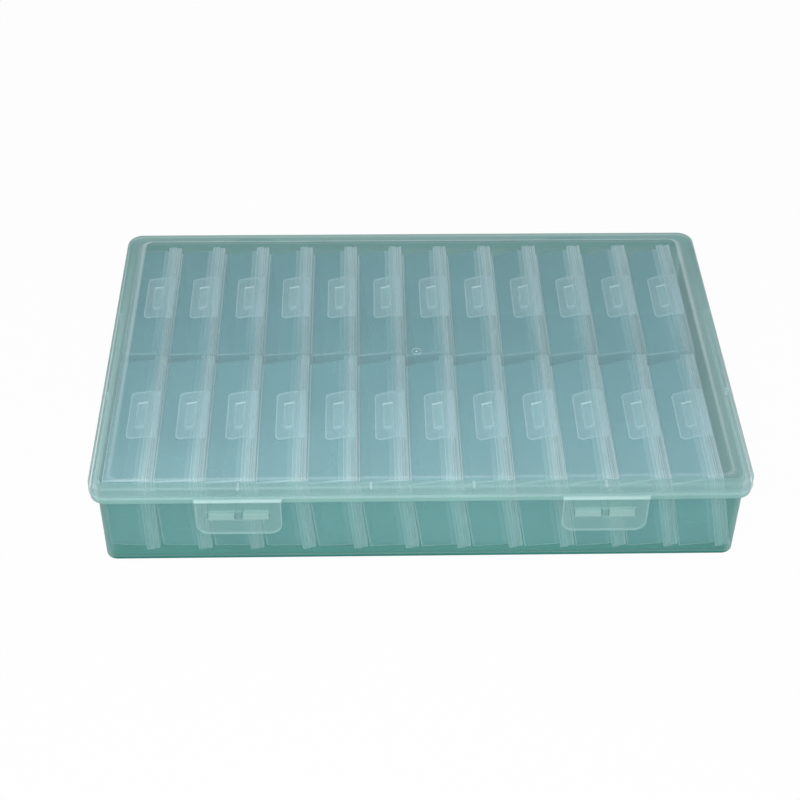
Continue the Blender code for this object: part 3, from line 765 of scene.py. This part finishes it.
def shaded_by_depth(part, front_milky):
    """A case's surface, milkier and paler to the front, and where the two rows meet milkier and paler,
    painted light on the shade there, with fainter painted edge highlights.

    front_milky is how milky it gets at the box's front. The meeting fades out as a bell curve over depth.
    """
    points, faces, values = part
    bell = np.exp(-((points[:, 1] - MIDDLE_SHIFT - MEETING_BEHIND) / MEETING_REACH) ** 2)
    milky = np.maximum(bell * MEETING_PAINTED_LIGHT, (1 - far_share(points)) * front_milky)
    edge, thick = (values * (1 - MEETING_CLEAR * bell[:, None])).T
    return points, faces, np.column_stack((edge, np.maximum(thick, milky)))


def build_cases(tray_plastic, lid_plastic):
    """The two rows of cases, each tray and lid a piece of its own."""
    tray, lid = joined(tray_parts()), joined(case_lid_parts())
    near = -INNER_DEPTH / 2 + FRONT_PLAY + CASE_LENGTH / 2
    far = INNER_DEPTH / 2 - BACK_PLAY - CASE_LENGTH / 2
    left = LEFT_PLAY - INNER_WIDTH / 2
    rows = (("near", NEAR_PLACES, near, ROW_DRIFT, NEAR_GAP_LAST), ("far", FAR_PLACES, far, 0, FAR_GAP_LAST))
    for row, places, y_last, drift, gap_last in rows:
        for place, (x, z, lean) in enumerate(places):
            y = y_last + drift * (1 - row_share(place)) + MIDDLE_SHIFT
            gap = CASE_GAP_FIRST + (gap_last - CASE_GAP_FIRST) * row_share(place)
            kinds = (("tray", tray, tray_plastic, TRAY_FRONT), ("lid", swollen(lid, gap), lid_plastic, 0))
            for kind, part, material, front_milky in kinds:
                node = f"case_{row}_{place + 1:02d}_{kind}"
                placed = shaded_by_depth(stood(part, x + left, y, z, lean), front_milky)
                add_piece(node, placed, "base", material)


# Box base


def base_profile():
    """Rows for box_skin from inside the floor, up and over the rim, and down outside."""
    inner_edge = BODY_EDGE - BODY_WALL
    inner = BODY_CORNER - BODY_WALL
    flange = LID_CORNER - FLANGE_INSET
    wall = BODY_TAPER + BODY_WALL
    rows = [(FLOOR_THICK, "body", wall + inner_edge + RIM_FADE, inner, 0, 1)]
    centre = (FLOOR_THICK + inner_edge, wall + inner_edge)
    for z, inset, edge in bend(centre, inner_edge, 2, 3, EDGE_STEPS, (0, 0)):
        rows.append((z, "body", inset, inner, edge, 1 - (z - FLOOR_THICK) / inner_edge))
    rows += [
        (RIM_TOP - RIM_FADE, "body", BODY_WALL, inner, 0, 0),
        (RIM_TOP, "body", BODY_WALL, inner, BASE_RIM_GLOW, 0),
        (RIM_TOP, "body", 0, BODY_CORNER, BASE_RIM_GLOW, 0),
        (RIM_TOP - RIM_FADE, "body", 0, BODY_CORNER, 0, 0),
        (FLANGE_TOP, "body", 0, BODY_CORNER, 0, 0),
    ]
    top = (FLANGE_TOP - FLANGE_EDGE, FLANGE_INSET + FLANGE_EDGE)
    low = (FLANGE_BOTTOM + FLANGE_EDGE, FLANGE_INSET + FLANGE_EDGE)
    for centre, start, end, glows in ((top, 0, -1, FLANGE_TOP_GLOWS), (low, -1, -2, FLANGE_LOW_GLOWS)):
        for z, inset, edge in bend(centre, FLANGE_EDGE, start, end, SMALL_CORNER_STEPS, glows):
            rows.append((z, "lid", inset, flange, edge, FLANGE_MILKY))
    rows.append((FLANGE_BOTTOM, "body", 0, BODY_CORNER, 0, FLANGE_MILKY))
    rows.append((FLANGE_BOTTOM - RIM_FADE, "body", 0, BODY_CORNER, 0, 0))
    rows.append((BODY_EDGE + RIM_FADE, "body", BODY_TAPER, BODY_CORNER, 0, 0))
    centre = (BODY_EDGE, BODY_TAPER + BODY_EDGE)
    for z, inset, edge in bend(centre, BODY_EDGE, 3, 2, EDGE_STEPS * 2, (0, 0)):
        rows.append((z, "body", inset, BODY_CORNER, edge, 1))
    rows.append((0, "body", BODY_TAPER + BODY_EDGE + RIM_FADE, BODY_CORNER, 0, 1))
    return rows


def box_skin(rows, shares):
    """A surface through level rings round the box, each from (z, outline's name, inset, corner, edge, thick).

    shares turns the two shares of each ring into those of its points.
    """
    sizes = {
        "body": (BODY_WIDTH, BODY_DEPTH, 0, 1),
        "lid": (LID_WIDTH, LID_DEPTH, 0, 1),
        "panel": (PANEL_WIDTH, PANEL_DEPTH, PANEL_MIDDLE, PANEL_SIDE_SPREAD),
    }
    rings = []
    for z, outline, inset, corner, _, _ in rows:
        width, depth, middle, side_spread = sizes[outline]
        loop = rounded_loop(width - 2 * inset * side_spread, depth - 2 * inset, corner, BOX_CORNER_STEPS)
        rings.append(level_ring(loop + (0, middle + MIDDLE_SHIFT), z))
    edge, thick = np.array([row[4:] for row in rows]).T[..., None]
    return skin(rings, *shares(edge, thick, np.stack(rings)))


def base_shares(edge, thick, points):
    """The base is milky at its sides, from the corners on, brightened there by painted light, and milky to
    the back.
    """
    aside = np.clip((abs(points[..., 0]) - BODY_WIDTH / 2) / BODY_CORNER + 1, 0, 1)
    behind = np.minimum(far_share(points) * BASE_SIDE_RISE, 1)
    milky = np.maximum(aside * BASE_SIDE, behind * BASE_BACK)
    return np.maximum(edge, aside * BASE_SIDE_PAINTED_LIGHT), thick + (1 - thick) * milky


def lid_shares(edge, thick, points):
    """To the back the lid gets milkier and darker, a painted shade, and its painted highlight lines brighter;
    to the front its half milky parts clear.
    """
    far = far_share(points)
    behind = far ** 2
    milky = thick ** (1 + BORDER_CLEARS * (1 - behind))
    return np.minimum(edge * (LID_LINE_FRONT + far), 1), milky * (LID_FRONT + (LID_BACK - LID_FRONT) * behind)


def hinge_lugs(middle):
    """The pair of lugs that hold one hinge pin behind the base, and the pin."""
    wall = BODY_HALF_DEPTH - OVERLAP
    turn = np.linspace(pi / 2, -pi / 2, ROUND_STEPS // 2)
    nose = np.column_stack((HINGE_Y + LUG_RADIUS * np.cos(turn), HINGE_Z + LUG_RADIUS * np.sin(turn)))
    top = (wall, FLANGE_TOP - OVERLAP), (HINGE_Y - LUG_RADIUS, FLANGE_TOP - OVERLAP)
    loop = np.vstack((top, nose, (wall, HINGE_Z - LUG_RADIUS - LUG_DROP))) + (MIDDLE_SHIFT, 0)
    parts = []
    for side in (-1, 1):
        inner = middle + side * (KNUCKLE_LENGTH / 2 + KNUCKLE_GAP)
        parts.append(bar(loop, inner, inner + side * LUG_WIDTH, HINGE_GLOW, 1))
    half = KNUCKLE_LENGTH / 2 + KNUCKLE_GAP + OVERLAP
    pin = circle_loop(PIN_RADIUS, ROUND_STEPS) + (HINGE_Y + MIDDLE_SHIFT, HINGE_Z)
    parts.append(bar(pin, middle - half, middle + half, PIN_GLOW, 1))
    return parts


def catches(middle):
    """The two ramped catches that fill one latch's windows."""
    wall = OVERLAP - BODY_HALF_DEPTH
    tip = LATCH_Y - LATCH_THICK / 2
    top = LATCH_Z - WINDOW_DROP - CATCH_PLAY
    bottom = LATCH_Z - WINDOW_DROP - WINDOW_HEIGHT + CATCH_PLAY
    places = (0, CATCH_SHOWN, CATCH_SHOWN + RIM_FADE)
    ramp = [(tip + along, top - CATCH_RAMP * (1 - along / (wall - tip))) for along in places]
    loop = np.array(((wall, bottom), (tip, bottom), *ramp, (wall, top))) + (MIDDLE_SHIFT, 0)
    # A painted highlight, and milkiness, on the catch's tip and the start of its ramp
    at_tip = np.tile((0, 1, 1, 1, 0, 0), (2, 1))
    parts = []
    for side in (-1, 1):
        inner = middle + side * (WINDOW_BRIDGE / 2 + CATCH_PLAY)
        outer = middle + side * (WINDOW_BRIDGE / 2 + WINDOW_WIDTH - CATCH_PLAY)
        parts.append(bar(loop, inner, outer, at_tip * CATCH_GLOW, at_tip))
    return parts


def build_base(material):
    parts = [box_skin(base_profile(), base_shares)]
    for side in (-1, 1):
        parts += hinge_lugs(side * HINGE_OFFSET)
        parts += catches(side * LATCH_OFFSET)
    add_piece("base", joined(parts), "base", material)


# Box lid


def lid_profile():
    """Rows for box_skin from under the panel, down inside the skirt, round the bead and onto the panel."""
    under = BORDER_TOP - LID_WALL
    inner = BEAD_REACH + LID_WALL
    inner_corner = LID_CORNER - inner
    bead_top = SKIRT_BOTTOM + BEAD_HEIGHT
    bead_corner = LID_CORNER - BEAD_REACH
    rows = [
        (under + PANEL_RISE, "panel", PANEL_STEP + PANEL_LINE * 2, PANEL_CORNER, 0, 0),
        (under + PANEL_RISE, "panel", PANEL_STEP, PANEL_CORNER, 0, FAINT),
        (under, "panel", 0, PANEL_CORNER, 0, PANEL_EDGE_MILKY),
        (under, "lid", inner + LID_EDGE / 2, inner_corner, 0, BORDER_MILKY),
    ]
    centre = (under - LID_EDGE / 2, inner + LID_EDGE / 2)
    for z, inset, edge in bend(centre, LID_EDGE / 2, 0, -1, EDGE_STEPS, (0, FAINT)):
        rows.append((z, "lid", inset, inner_corner, edge, 1))
    rows += [
        (SKIRT_BOTTOM + RIM_FADE, "lid", inner, inner_corner, 0, 1),
        (SKIRT_BOTTOM, "lid", inner, inner_corner, FAINT, 1),
        (SKIRT_BOTTOM, "lid", BEAD_REACH, bead_corner, SKIRT_GLOW, 1),
        (SKIRT_BOTTOM + BEAD_REACH, "lid", 0, LID_CORNER, BEAD_GLOW, 1),
        (bead_top, "lid", 0, LID_CORNER, BEAD_GLOW, 1),
        (bead_top + BEAD_REACH, "lid", BEAD_REACH, bead_corner, 0, 1),
        (bead_top + BEAD_REACH + RIM_FADE, "lid", BEAD_REACH, bead_corner, 0, 1),
    ]
    centre = (BORDER_TOP - LID_EDGE, BEAD_REACH + LID_EDGE)
    for z, inset, edge in bend(centre, LID_EDGE, -1, 0, EDGE_STEPS * 2, (0, BEAD_GLOW)):
        rows.append((z, "lid", inset, LID_CORNER - inset, edge, 1))
    top = BORDER_TOP + PANEL_RISE
    return rows + [
        (BORDER_TOP, "panel", -RIM_FADE, PANEL_CORNER + RIM_FADE, 0, BORDER_MILKY),
        (BORDER_TOP, "panel", 0, PANEL_CORNER, FAINT, PANEL_EDGE_MILKY),
        (top, "panel", PANEL_STEP, PANEL_CORNER, PANEL_STEP_GLOW, PANEL_EDGE_MILKY),
        (top, "panel", PANEL_STEP + PANEL_LINE, PANEL_CORNER, PANEL_LINE_GLOW, PANEL_LINE_MILKY),
        (top, "panel", PANEL_STEP + PANEL_LINE * 2, PANEL_CORNER, 0, 0),
    ]


def ribs():
    """The small ribs between the lid's border and the front and side skirts."""
    high = BORDER_TOP - LID_WALL / 2
    low = BORDER_TOP - LID_WALL - RIB_DROP
    skirt_y = BEAD_REACH + LID_WALL / 2 - LID_HALF_DEPTH
    skirt_x = LID_WIDTH / 2 - BEAD_REACH - LID_WALL / 2
    body_y = -BODY_HALF_DEPTH - RIB_PLAY
    body_x = BODY_WIDTH / 2 + RIB_PLAY
    half = RIB_THICK / 2
    parts = []
    foot = half - RIB_NARROWED
    for x in (side * offset for side in (-1, 1) for offset in RIB_OFFSETS):
        for reach, bottom, glow in ((half, high - RIB_ROOT, RIB_ROOT_GLOW), (foot, low, RIB_FOOT_GLOW)):
            ends = ((x - reach, skirt_y + MIDDLE_SHIFT, bottom), (x + reach, body_y + MIDDLE_SHIFT, high))
            parts.append(block(*ends, foot / 2, (glow, glow), 1))
    for side in (-1, 1):
        ends = sorted((side * skirt_x, side * body_x))
        for y in (MIDDLE_SHIFT - SIDE_RIB_OFFSET, MIDDLE_SHIFT + SIDE_RIB_OFFSET):
            corners = ((ends[0], y - half, low), (ends[1], y + half, high))
            parts.append(block(*corners, RIM_EDGE, (RIB_ROOT_GLOW, 1), 1))
    return parts


def knuckle(middle):
    """A hinge knuckle with its bore, and the web that hangs it from the lid's rear skirt."""
    half = KNUCKLE_LENGTH / 2
    centre = (HINGE_Y + MIDDLE_SHIFT, HINGE_Z)
    outer = circle_loop(KNUCKLE_RADIUS, ROUND_STEPS) + centre
    inner = circle_loop(BORE_RADIUS, ROUND_STEPS) + centre
    inside = LID_HALF_DEPTH - BEAD_REACH - OVERLAP
    turn = np.linspace(pi, pi / 3, ROUND_STEPS // 2)
    arch = np.column_stack((HINGE_Y + KNUCKLE_RADIUS * np.cos(turn), HINGE_Z + KNUCKLE_RADIUS * np.sin(turn)))
    web = np.vstack(((inside, SKIRT_BOTTOM), (inside, SKIRT_BOTTOM + WEB_RISE), arch[::-1]))
    hanger = bar(web + (MIDDLE_SHIFT, 0), middle - half, middle + half, WEB_GLOW, 1)
    return [tube(outer, inner, side_ring, middle - half, middle + half, HINGE_GLOW, 1), hanger]


def gate_mark():
    """The faint ring and dot that moulding leaves in the middle of the panel, sunk in its thickness."""
    top = BORDER_TOP + PANEL_RISE - GATE_DEPTH
    sizes = (GATE_RADIUS, GATE_RADIUS - GATE_BAND, GATE_DOT)
    outer, inner, dot = (circle_loop(radius, ROUND_STEPS) + GATE_PLACE for radius in sizes)
    return [
        tube(outer, inner, level_ring, top - GATE_DEPTH, top, GATE_GLOW, GATE_GLOW),
        skin((level_ring(dot, top - GATE_DEPTH), level_ring(dot, top)), 1, 1),
    ]


def build_lid(material):
    parts = [box_skin(lid_profile(), lid_shares)] + gate_mark() + ribs()
    for side in (-1, 1):
        parts += knuckle(side * HINGE_OFFSET)
    add_piece("lid", joined(parts), "lid", material)


# Front latches


def latch_parts(middle):
    """A latch: its plate with one wide window, the bridge that splits the window, and the hinge bar."""
    low, high = LATCH_Z - LATCH_DROP, LATCH_Z
    window_width = 2 * WINDOW_WIDTH + WINDOW_BRIDGE
    window_z = LATCH_Z - WINDOW_DROP - WINDOW_HEIGHT / 2
    radii = np.array((LATCH_ROOT_CORNER, LATCH_ROOT_CORNER, LATCH_CORNER, LATCH_CORNER))

    def outer(inset):
        loop = inset_loop(LATCH_WIDTH, high - low, radii, inset, BOX_CORNER_STEPS)
        return loop + (middle, (low + high) / 2)

    def window(inset):
        loop = inset_loop(window_width, WINDOW_HEIGHT, WINDOW_CORNER, inset, BOX_CORNER_STEPS)
        return loop + (middle, window_z)

    front, back = LATCH_Y - LATCH_THICK / 2 + MIDDLE_SHIFT, LATCH_Y + LATCH_THICK / 2 + MIDDLE_SHIFT
    glows = (LATCH_GLOW, LATCH_WINDOW_GLOW)
    plate = window_plate(outer, window, (front, back), LATCH_EDGE, front_ring, glows, LATCH_MILKY)
    half_bridge = WINDOW_BRIDGE / 2
    bridge = block(
        (middle - half_bridge, front, window_z - WINDOW_HEIGHT / 2 - LATCH_EDGE),
        (middle + half_bridge, back, window_z + WINDOW_HEIGHT / 2 + LATCH_EDGE),
        LATCH_EDGE, LATCH_BRIDGE_GLOWS, LATCH_MILKY,
    )
    half = LATCH_WIDTH / 2 + BAR_OVERHANG
    round_bar = circle_loop(BAR_RADIUS, ROUND_STEPS) + (LATCH_Y + MIDDLE_SHIFT, LATCH_Z)
    return [plate, bridge, bar(round_bar, middle - half, middle + half, BAR_GLOW, 1)]


def build_latches(material):
    for name, side in (("latch_left", -1), ("latch_right", 1)):
        add_piece(name, joined(latch_parts(side * LATCH_OFFSET)), name, material)


# Pieces


def add_object(name, data):
    """An object in the scene that shows a mesh, a camera or a lamp."""
    thing = bpy.data.objects.new(name, data)
    bpy.context.scene.collection.objects.link(thing)
    return thing


def add_piece(node, part, body, material):
    """One moulded piece that stands for a node, moves with a body and takes its finish from its material."""
    points, faces, values = part
    mesh = bpy.data.meshes.new(node + "_moulding")
    mesh.from_pydata(points.tolist(), [], faces)
    # edge is the share of painted highlight at each point, thick how milky the plastic is there
    for column, name in enumerate(("edge", "thick")):
        attribute = mesh.attributes.new(name, "FLOAT", "POINT")
        attribute.data.foreach_set("value", values[:, column].astype(np.float32))
    mesh.materials.append(material)
    mesh.shade_smooth()
    mesh.set_sharp_from_angle(angle=SHARP_ANGLE)
    piece = add_object(node + "_moulding", mesh)
    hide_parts(node)
    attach(piece, body)


# Finishes


def feed(tree, node, inputs):
    """Link a node's inputs to sockets, or set them to plain values."""
    for key, value in inputs.items():
        if isinstance(value, bpy.types.NodeSocket):
            tree.links.new(value, node.inputs[key])
        else:
            node.inputs[key].default_value = value


def node_at(tree, kind, inputs=None, **settings):
    """A shader node of this kind with its settings and inputs."""
    node = tree.nodes.new("ShaderNode" + kind)
    for name, value in settings.items():
        setattr(node, name, value)
    feed(tree, node, inputs or {})
    return node


def math_node(tree, operation, *values):
    """The result of a Math node."""
    return node_at(tree, "Math", dict(enumerate(values)), operation=operation).outputs[0]


def mix_node(tree, kind, factor, first, second):
    """The result of a Mix node, whose sockets have other numbers for each kind of data."""
    low, high, out = {"FLOAT": (2, 3, 0), "RGBA": (6, 7, 2)}[kind]
    return node_at(tree, "Mix", {0: factor, low: first, high: second}, data_type=kind).outputs[out]


def mix_shader(tree, factor, first, second):
    """A Mix Shader node between two shaders."""
    return node_at(tree, "MixShader", {0: factor, 1: first.outputs[0], 2: second.outputs[0]})


def noise(tree, place, scale, detail):
    """Smooth noise read at a place."""
    return node_at(tree, "TexNoise", {"Vector": place, "Scale": scale, "Detail": detail}).outputs["Fac"]


def group_with_sockets():
    """An empty node group with the inputs and outputs of the frosted plastic."""
    group = bpy.data.node_groups.new("frosted_moulding", "ShaderNodeTree")
    for side, kind, names in (
        ("INPUT", "Vector", ("Place",)),
        ("INPUT", "Color", COLOUR_NAMES),
        ("INPUT", "Float", ("Edge", "Thick", *VALUE_NAMES)),
        ("OUTPUT", "Color", ("Colour",)),
        ("OUTPUT", "Float", ("Haze", "Roughness", "Height")),
    ):
        for name in names:
            group.interface.new_socket(name, in_out=side, socket_type="NodeSocket" + kind)
    return group


def frosted_group():
    """Milky moulded plastic: denser at its edges and paler there with a painted highlight, with faint flow
    clouds and ripples.
    """
    group = group_with_sockets()
    inside = group.nodes.new("NodeGroupInput").outputs
    cloud = noise(group, inside["Place"], CLOUD_SCALE, CLOUD_DETAIL)
    ripple = noise(group, inside["Place"], RIPPLE_SCALE, RIPPLE_DETAIL)
    haze = mix_node(group, "FLOAT", inside["Thick"], inside["Clear Haze"], inside["Thick Haze"])
    haze = mix_node(group, "FLOAT", inside["Edge"], haze, inside["Edge Haze"])
    swing = math_node(group, "MULTIPLY_ADD", cloud, CLOUD_DEPTH, 1 - CLOUD_DEPTH / 2)
    deep = math_node(group, "MULTIPLY", inside["Thick"], inside["Thick"])
    colour = mix_node(group, "RGBA", deep, inside["Body Colour"], inside["Thick Colour"])
    # Painted highlight: the pale highlight colour laid over the plastic's own by the edge share
    colour = mix_node(group, "RGBA", inside["Edge"], colour, inside["Highlight Colour"])
    shade = math_node(group, "MULTIPLY_ADD", cloud, COLOUR_DEPTH, 1 - COLOUR_DEPTH / 2)
    feed(group, group.nodes.new("NodeGroupOutput"), {
        "Haze": math_node(group, "MULTIPLY", haze, swing),
        "Colour": node_at(group, "VectorMath", {0: colour, "Scale": shade}, operation="SCALE").outputs[0],
        "Roughness": math_node(group, "MULTIPLY_ADD", cloud, MATT_DEPTH, inside["Matt"]),
        "Height": ripple,
    })
    return group


def slanted(tree, haze):
    """Haze of a wall seen aslant, 1 - (1 - haze) ** (1 / cosine): light crosses more plastic there."""
    facing = node_at(tree, "LayerWeight").outputs["Facing"]
    cosine = math_node(tree, "MAXIMUM", math_node(tree, "SUBTRACT", 1, facing), LEAST_SLANT)
    clear = math_node(tree, "SUBTRACT", 1, haze)
    power = math_node(tree, "POWER", clear, math_node(tree, "DIVIDE", 1, cosine))
    return math_node(tree, "SUBTRACT", 1, power)


def softly_shading(tree, haze):
    """Haze as it is seen, and a share of it for shadows, since milky plastic keeps little light."""
    shadow = node_at(tree, "LightPath").outputs["Is Shadow Ray"]
    shade = math_node(tree, "MULTIPLY", haze, SHADE_SHARE)
    return mix_node(tree, "FLOAT", shadow, slanted(tree, haze), shade)


def moulding_look(tree, group, colours, values):
    """What the shared group makes of a plastic's colours and values and the two shares of each point."""
    inputs = {name: (*colour, 1) for name, colour in zip(COLOUR_NAMES, colours)}
    inputs.update(zip(VALUE_NAMES, values))
    inputs["Place"] = node_at(tree, "TexCoord").outputs["Object"]
    for name in ("Edge", "Thick"):
        inputs[name] = node_at(tree, "Attribute", attribute_name=name.lower()).outputs["Fac"]
    return node_at(tree, "Group", inputs, node_tree=group).outputs


def frosted(group, slot, colours, hazes, gloss):
    """A material of frosted plastic with its own colours and hazes.

    gloss gives how matt it is, how strongly it reflects and how much light its milkiness lets through.
    """
    matt, shine, glow_through = gloss
    material = bpy.data.materials.new("frosted_" + slot)
    material["slot"] = slot
    material.use_nodes = True
    tree = material.node_tree
    shader = tree.nodes["Principled BSDF"]
    look = moulding_look(tree, group, colours, (*hazes, matt))
    ripples = {"Strength": RIPPLE_STRENGTH, "Distance": RIPPLE_HEIGHT, "Height": look["Height"]}
    haze = softly_shading(tree, look["Haze"])
    feed(tree, shader, {
        "Base Color": look["Colour"],
        "Alpha": haze,
        "Roughness": look["Roughness"],
        "Normal": node_at(tree, "Bump", ripples).outputs["Normal"],
        "IOR": PLASTIC_IOR,
        "Specular IOR Level": shine,
    })
    through = node_at(tree, "BsdfTranslucent", {"Color": look["Colour"]})
    milky = mix_shader(tree, haze, node_at(tree, "BsdfTransparent"), through)
    both = mix_shader(tree, glow_through, shader, milky)
    feed(tree, tree.nodes["Material Output"], {"Surface": both.outputs[0]})
    return material


# Surroundings


def add_camera():
    """The camera, turned, tilted down and rolled as the photograph's was."""
    data = bpy.data.cameras.new("camera")
    data.lens = FOCAL_LENGTH
    data.sensor_width = SENSOR_WIDTH
    camera = add_object("camera", data)
    turn = Matrix.Rotation(CAMERA_TURN, 4, "Z") @ Matrix.Rotation(pi / 2 - CAMERA_TILT, 4, "X")
    place = Matrix.Translation(CAMERA_OVER_LID) @ Matrix.Translation((0, MIDDLE_SHIFT, BORDER_TOP))
    camera.matrix_world = place @ turn @ Matrix.Rotation(CAMERA_ROLL, 4, "Z")
    bpy.context.scene.camera = camera


def add_lamp(name, place, target, size, power):
    """A soft square lamp at a place, facing a target."""
    data = bpy.data.lights.new(name, "AREA")
    data.energy = power
    data.size = size
    lamp = add_object(name, data)
    lamp.location = place
    aim = np.array(target, float) - np.array(place, float)
    lamp.rotation_euler = Matrix(look_along(aim)).to_euler()


def look_along(aim):
    """A turn whose -Z axis runs along a slanting aim, worked out with cross products."""
    back = -aim / np.linalg.norm(aim)
    right = np.cross((0, 0, 1), back)
    right = right / np.linalg.norm(right)
    return np.column_stack((right, np.cross(back, right), back)).tolist()


def seen_directly(tree):
    """1 for what the camera and mirror reflections see, and 0 for the light that falls on things."""
    seen = node_at(tree, "LightPath").outputs
    return math_node(tree, "MAXIMUM", seen["Is Camera Ray"], seen["Is Glossy Ray"])


def add_floor():
    """A wide pale floor that shows white and keeps the box's shadow."""
    loop = rounded_loop(FLOOR_SIZE, FLOOR_SIZE, FLOOR_SIZE / 4, SMALL_CORNER_STEPS)
    mesh = bpy.data.meshes.new("floor")
    mesh.from_pydata(level_ring(loop, FLOOR_DROP).tolist(), [], [list(range(len(loop)))])
    floor = add_object("floor", mesh)
    material = bpy.data.materials.new("floor_paper")
    material.use_nodes = True
    tree = material.node_tree
    tree.nodes.clear()
    paper = node_at(tree, "BsdfDiffuse", {"Color": (FLOOR_TONE, FLOOR_TONE, FLOOR_TONE, 1)})
    lift = math_node(tree, "MULTIPLY", seen_directly(tree), FLOOR_LIFT)
    lifted = mix_shader(tree, lift, paper, node_at(tree, "Emission"))
    node_at(tree, "OutputMaterial", {0: lifted.outputs[0]})
    mesh.materials.append(material)


def add_world():
    """Plain white where it is seen, and an even soft light on everything."""
    world = bpy.data.worlds.new("studio")
    world.use_nodes = True
    bpy.context.scene.world = world
    tree = world.node_tree
    strength = math_node(tree, "MULTIPLY_ADD", seen_directly(tree), 1 - WORLD_LIGHT, WORLD_LIGHT)
    feed(tree, tree.nodes["Background"], {"Color": (1, 1, 1, 1), "Strength": strength})


def build():
    group = frosted_group()
    base, lid, latch, tray, case_lid = (frosted(group, slot, *look) for slot, look in PLASTICS.items())
    build_base(base)
    build_lid(lid)
    build_latches(latch)
    build_cases(tray, case_lid)
    add_floor()
    add_world()
    add_camera()
    for name, lamp in LAMPS.items():
        add_lamp(name, *lamp)
    scene = bpy.context.scene
    scene.view_settings.view_transform = "Standard"
    scene.cycles.transparent_max_bounces = CLEAR_LAYERS


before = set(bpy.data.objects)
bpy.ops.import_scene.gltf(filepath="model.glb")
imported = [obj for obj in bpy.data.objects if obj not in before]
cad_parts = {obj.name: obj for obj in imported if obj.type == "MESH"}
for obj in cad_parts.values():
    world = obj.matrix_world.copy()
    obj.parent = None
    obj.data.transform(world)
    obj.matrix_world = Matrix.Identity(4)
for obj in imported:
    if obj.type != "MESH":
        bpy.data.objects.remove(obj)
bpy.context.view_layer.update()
build()
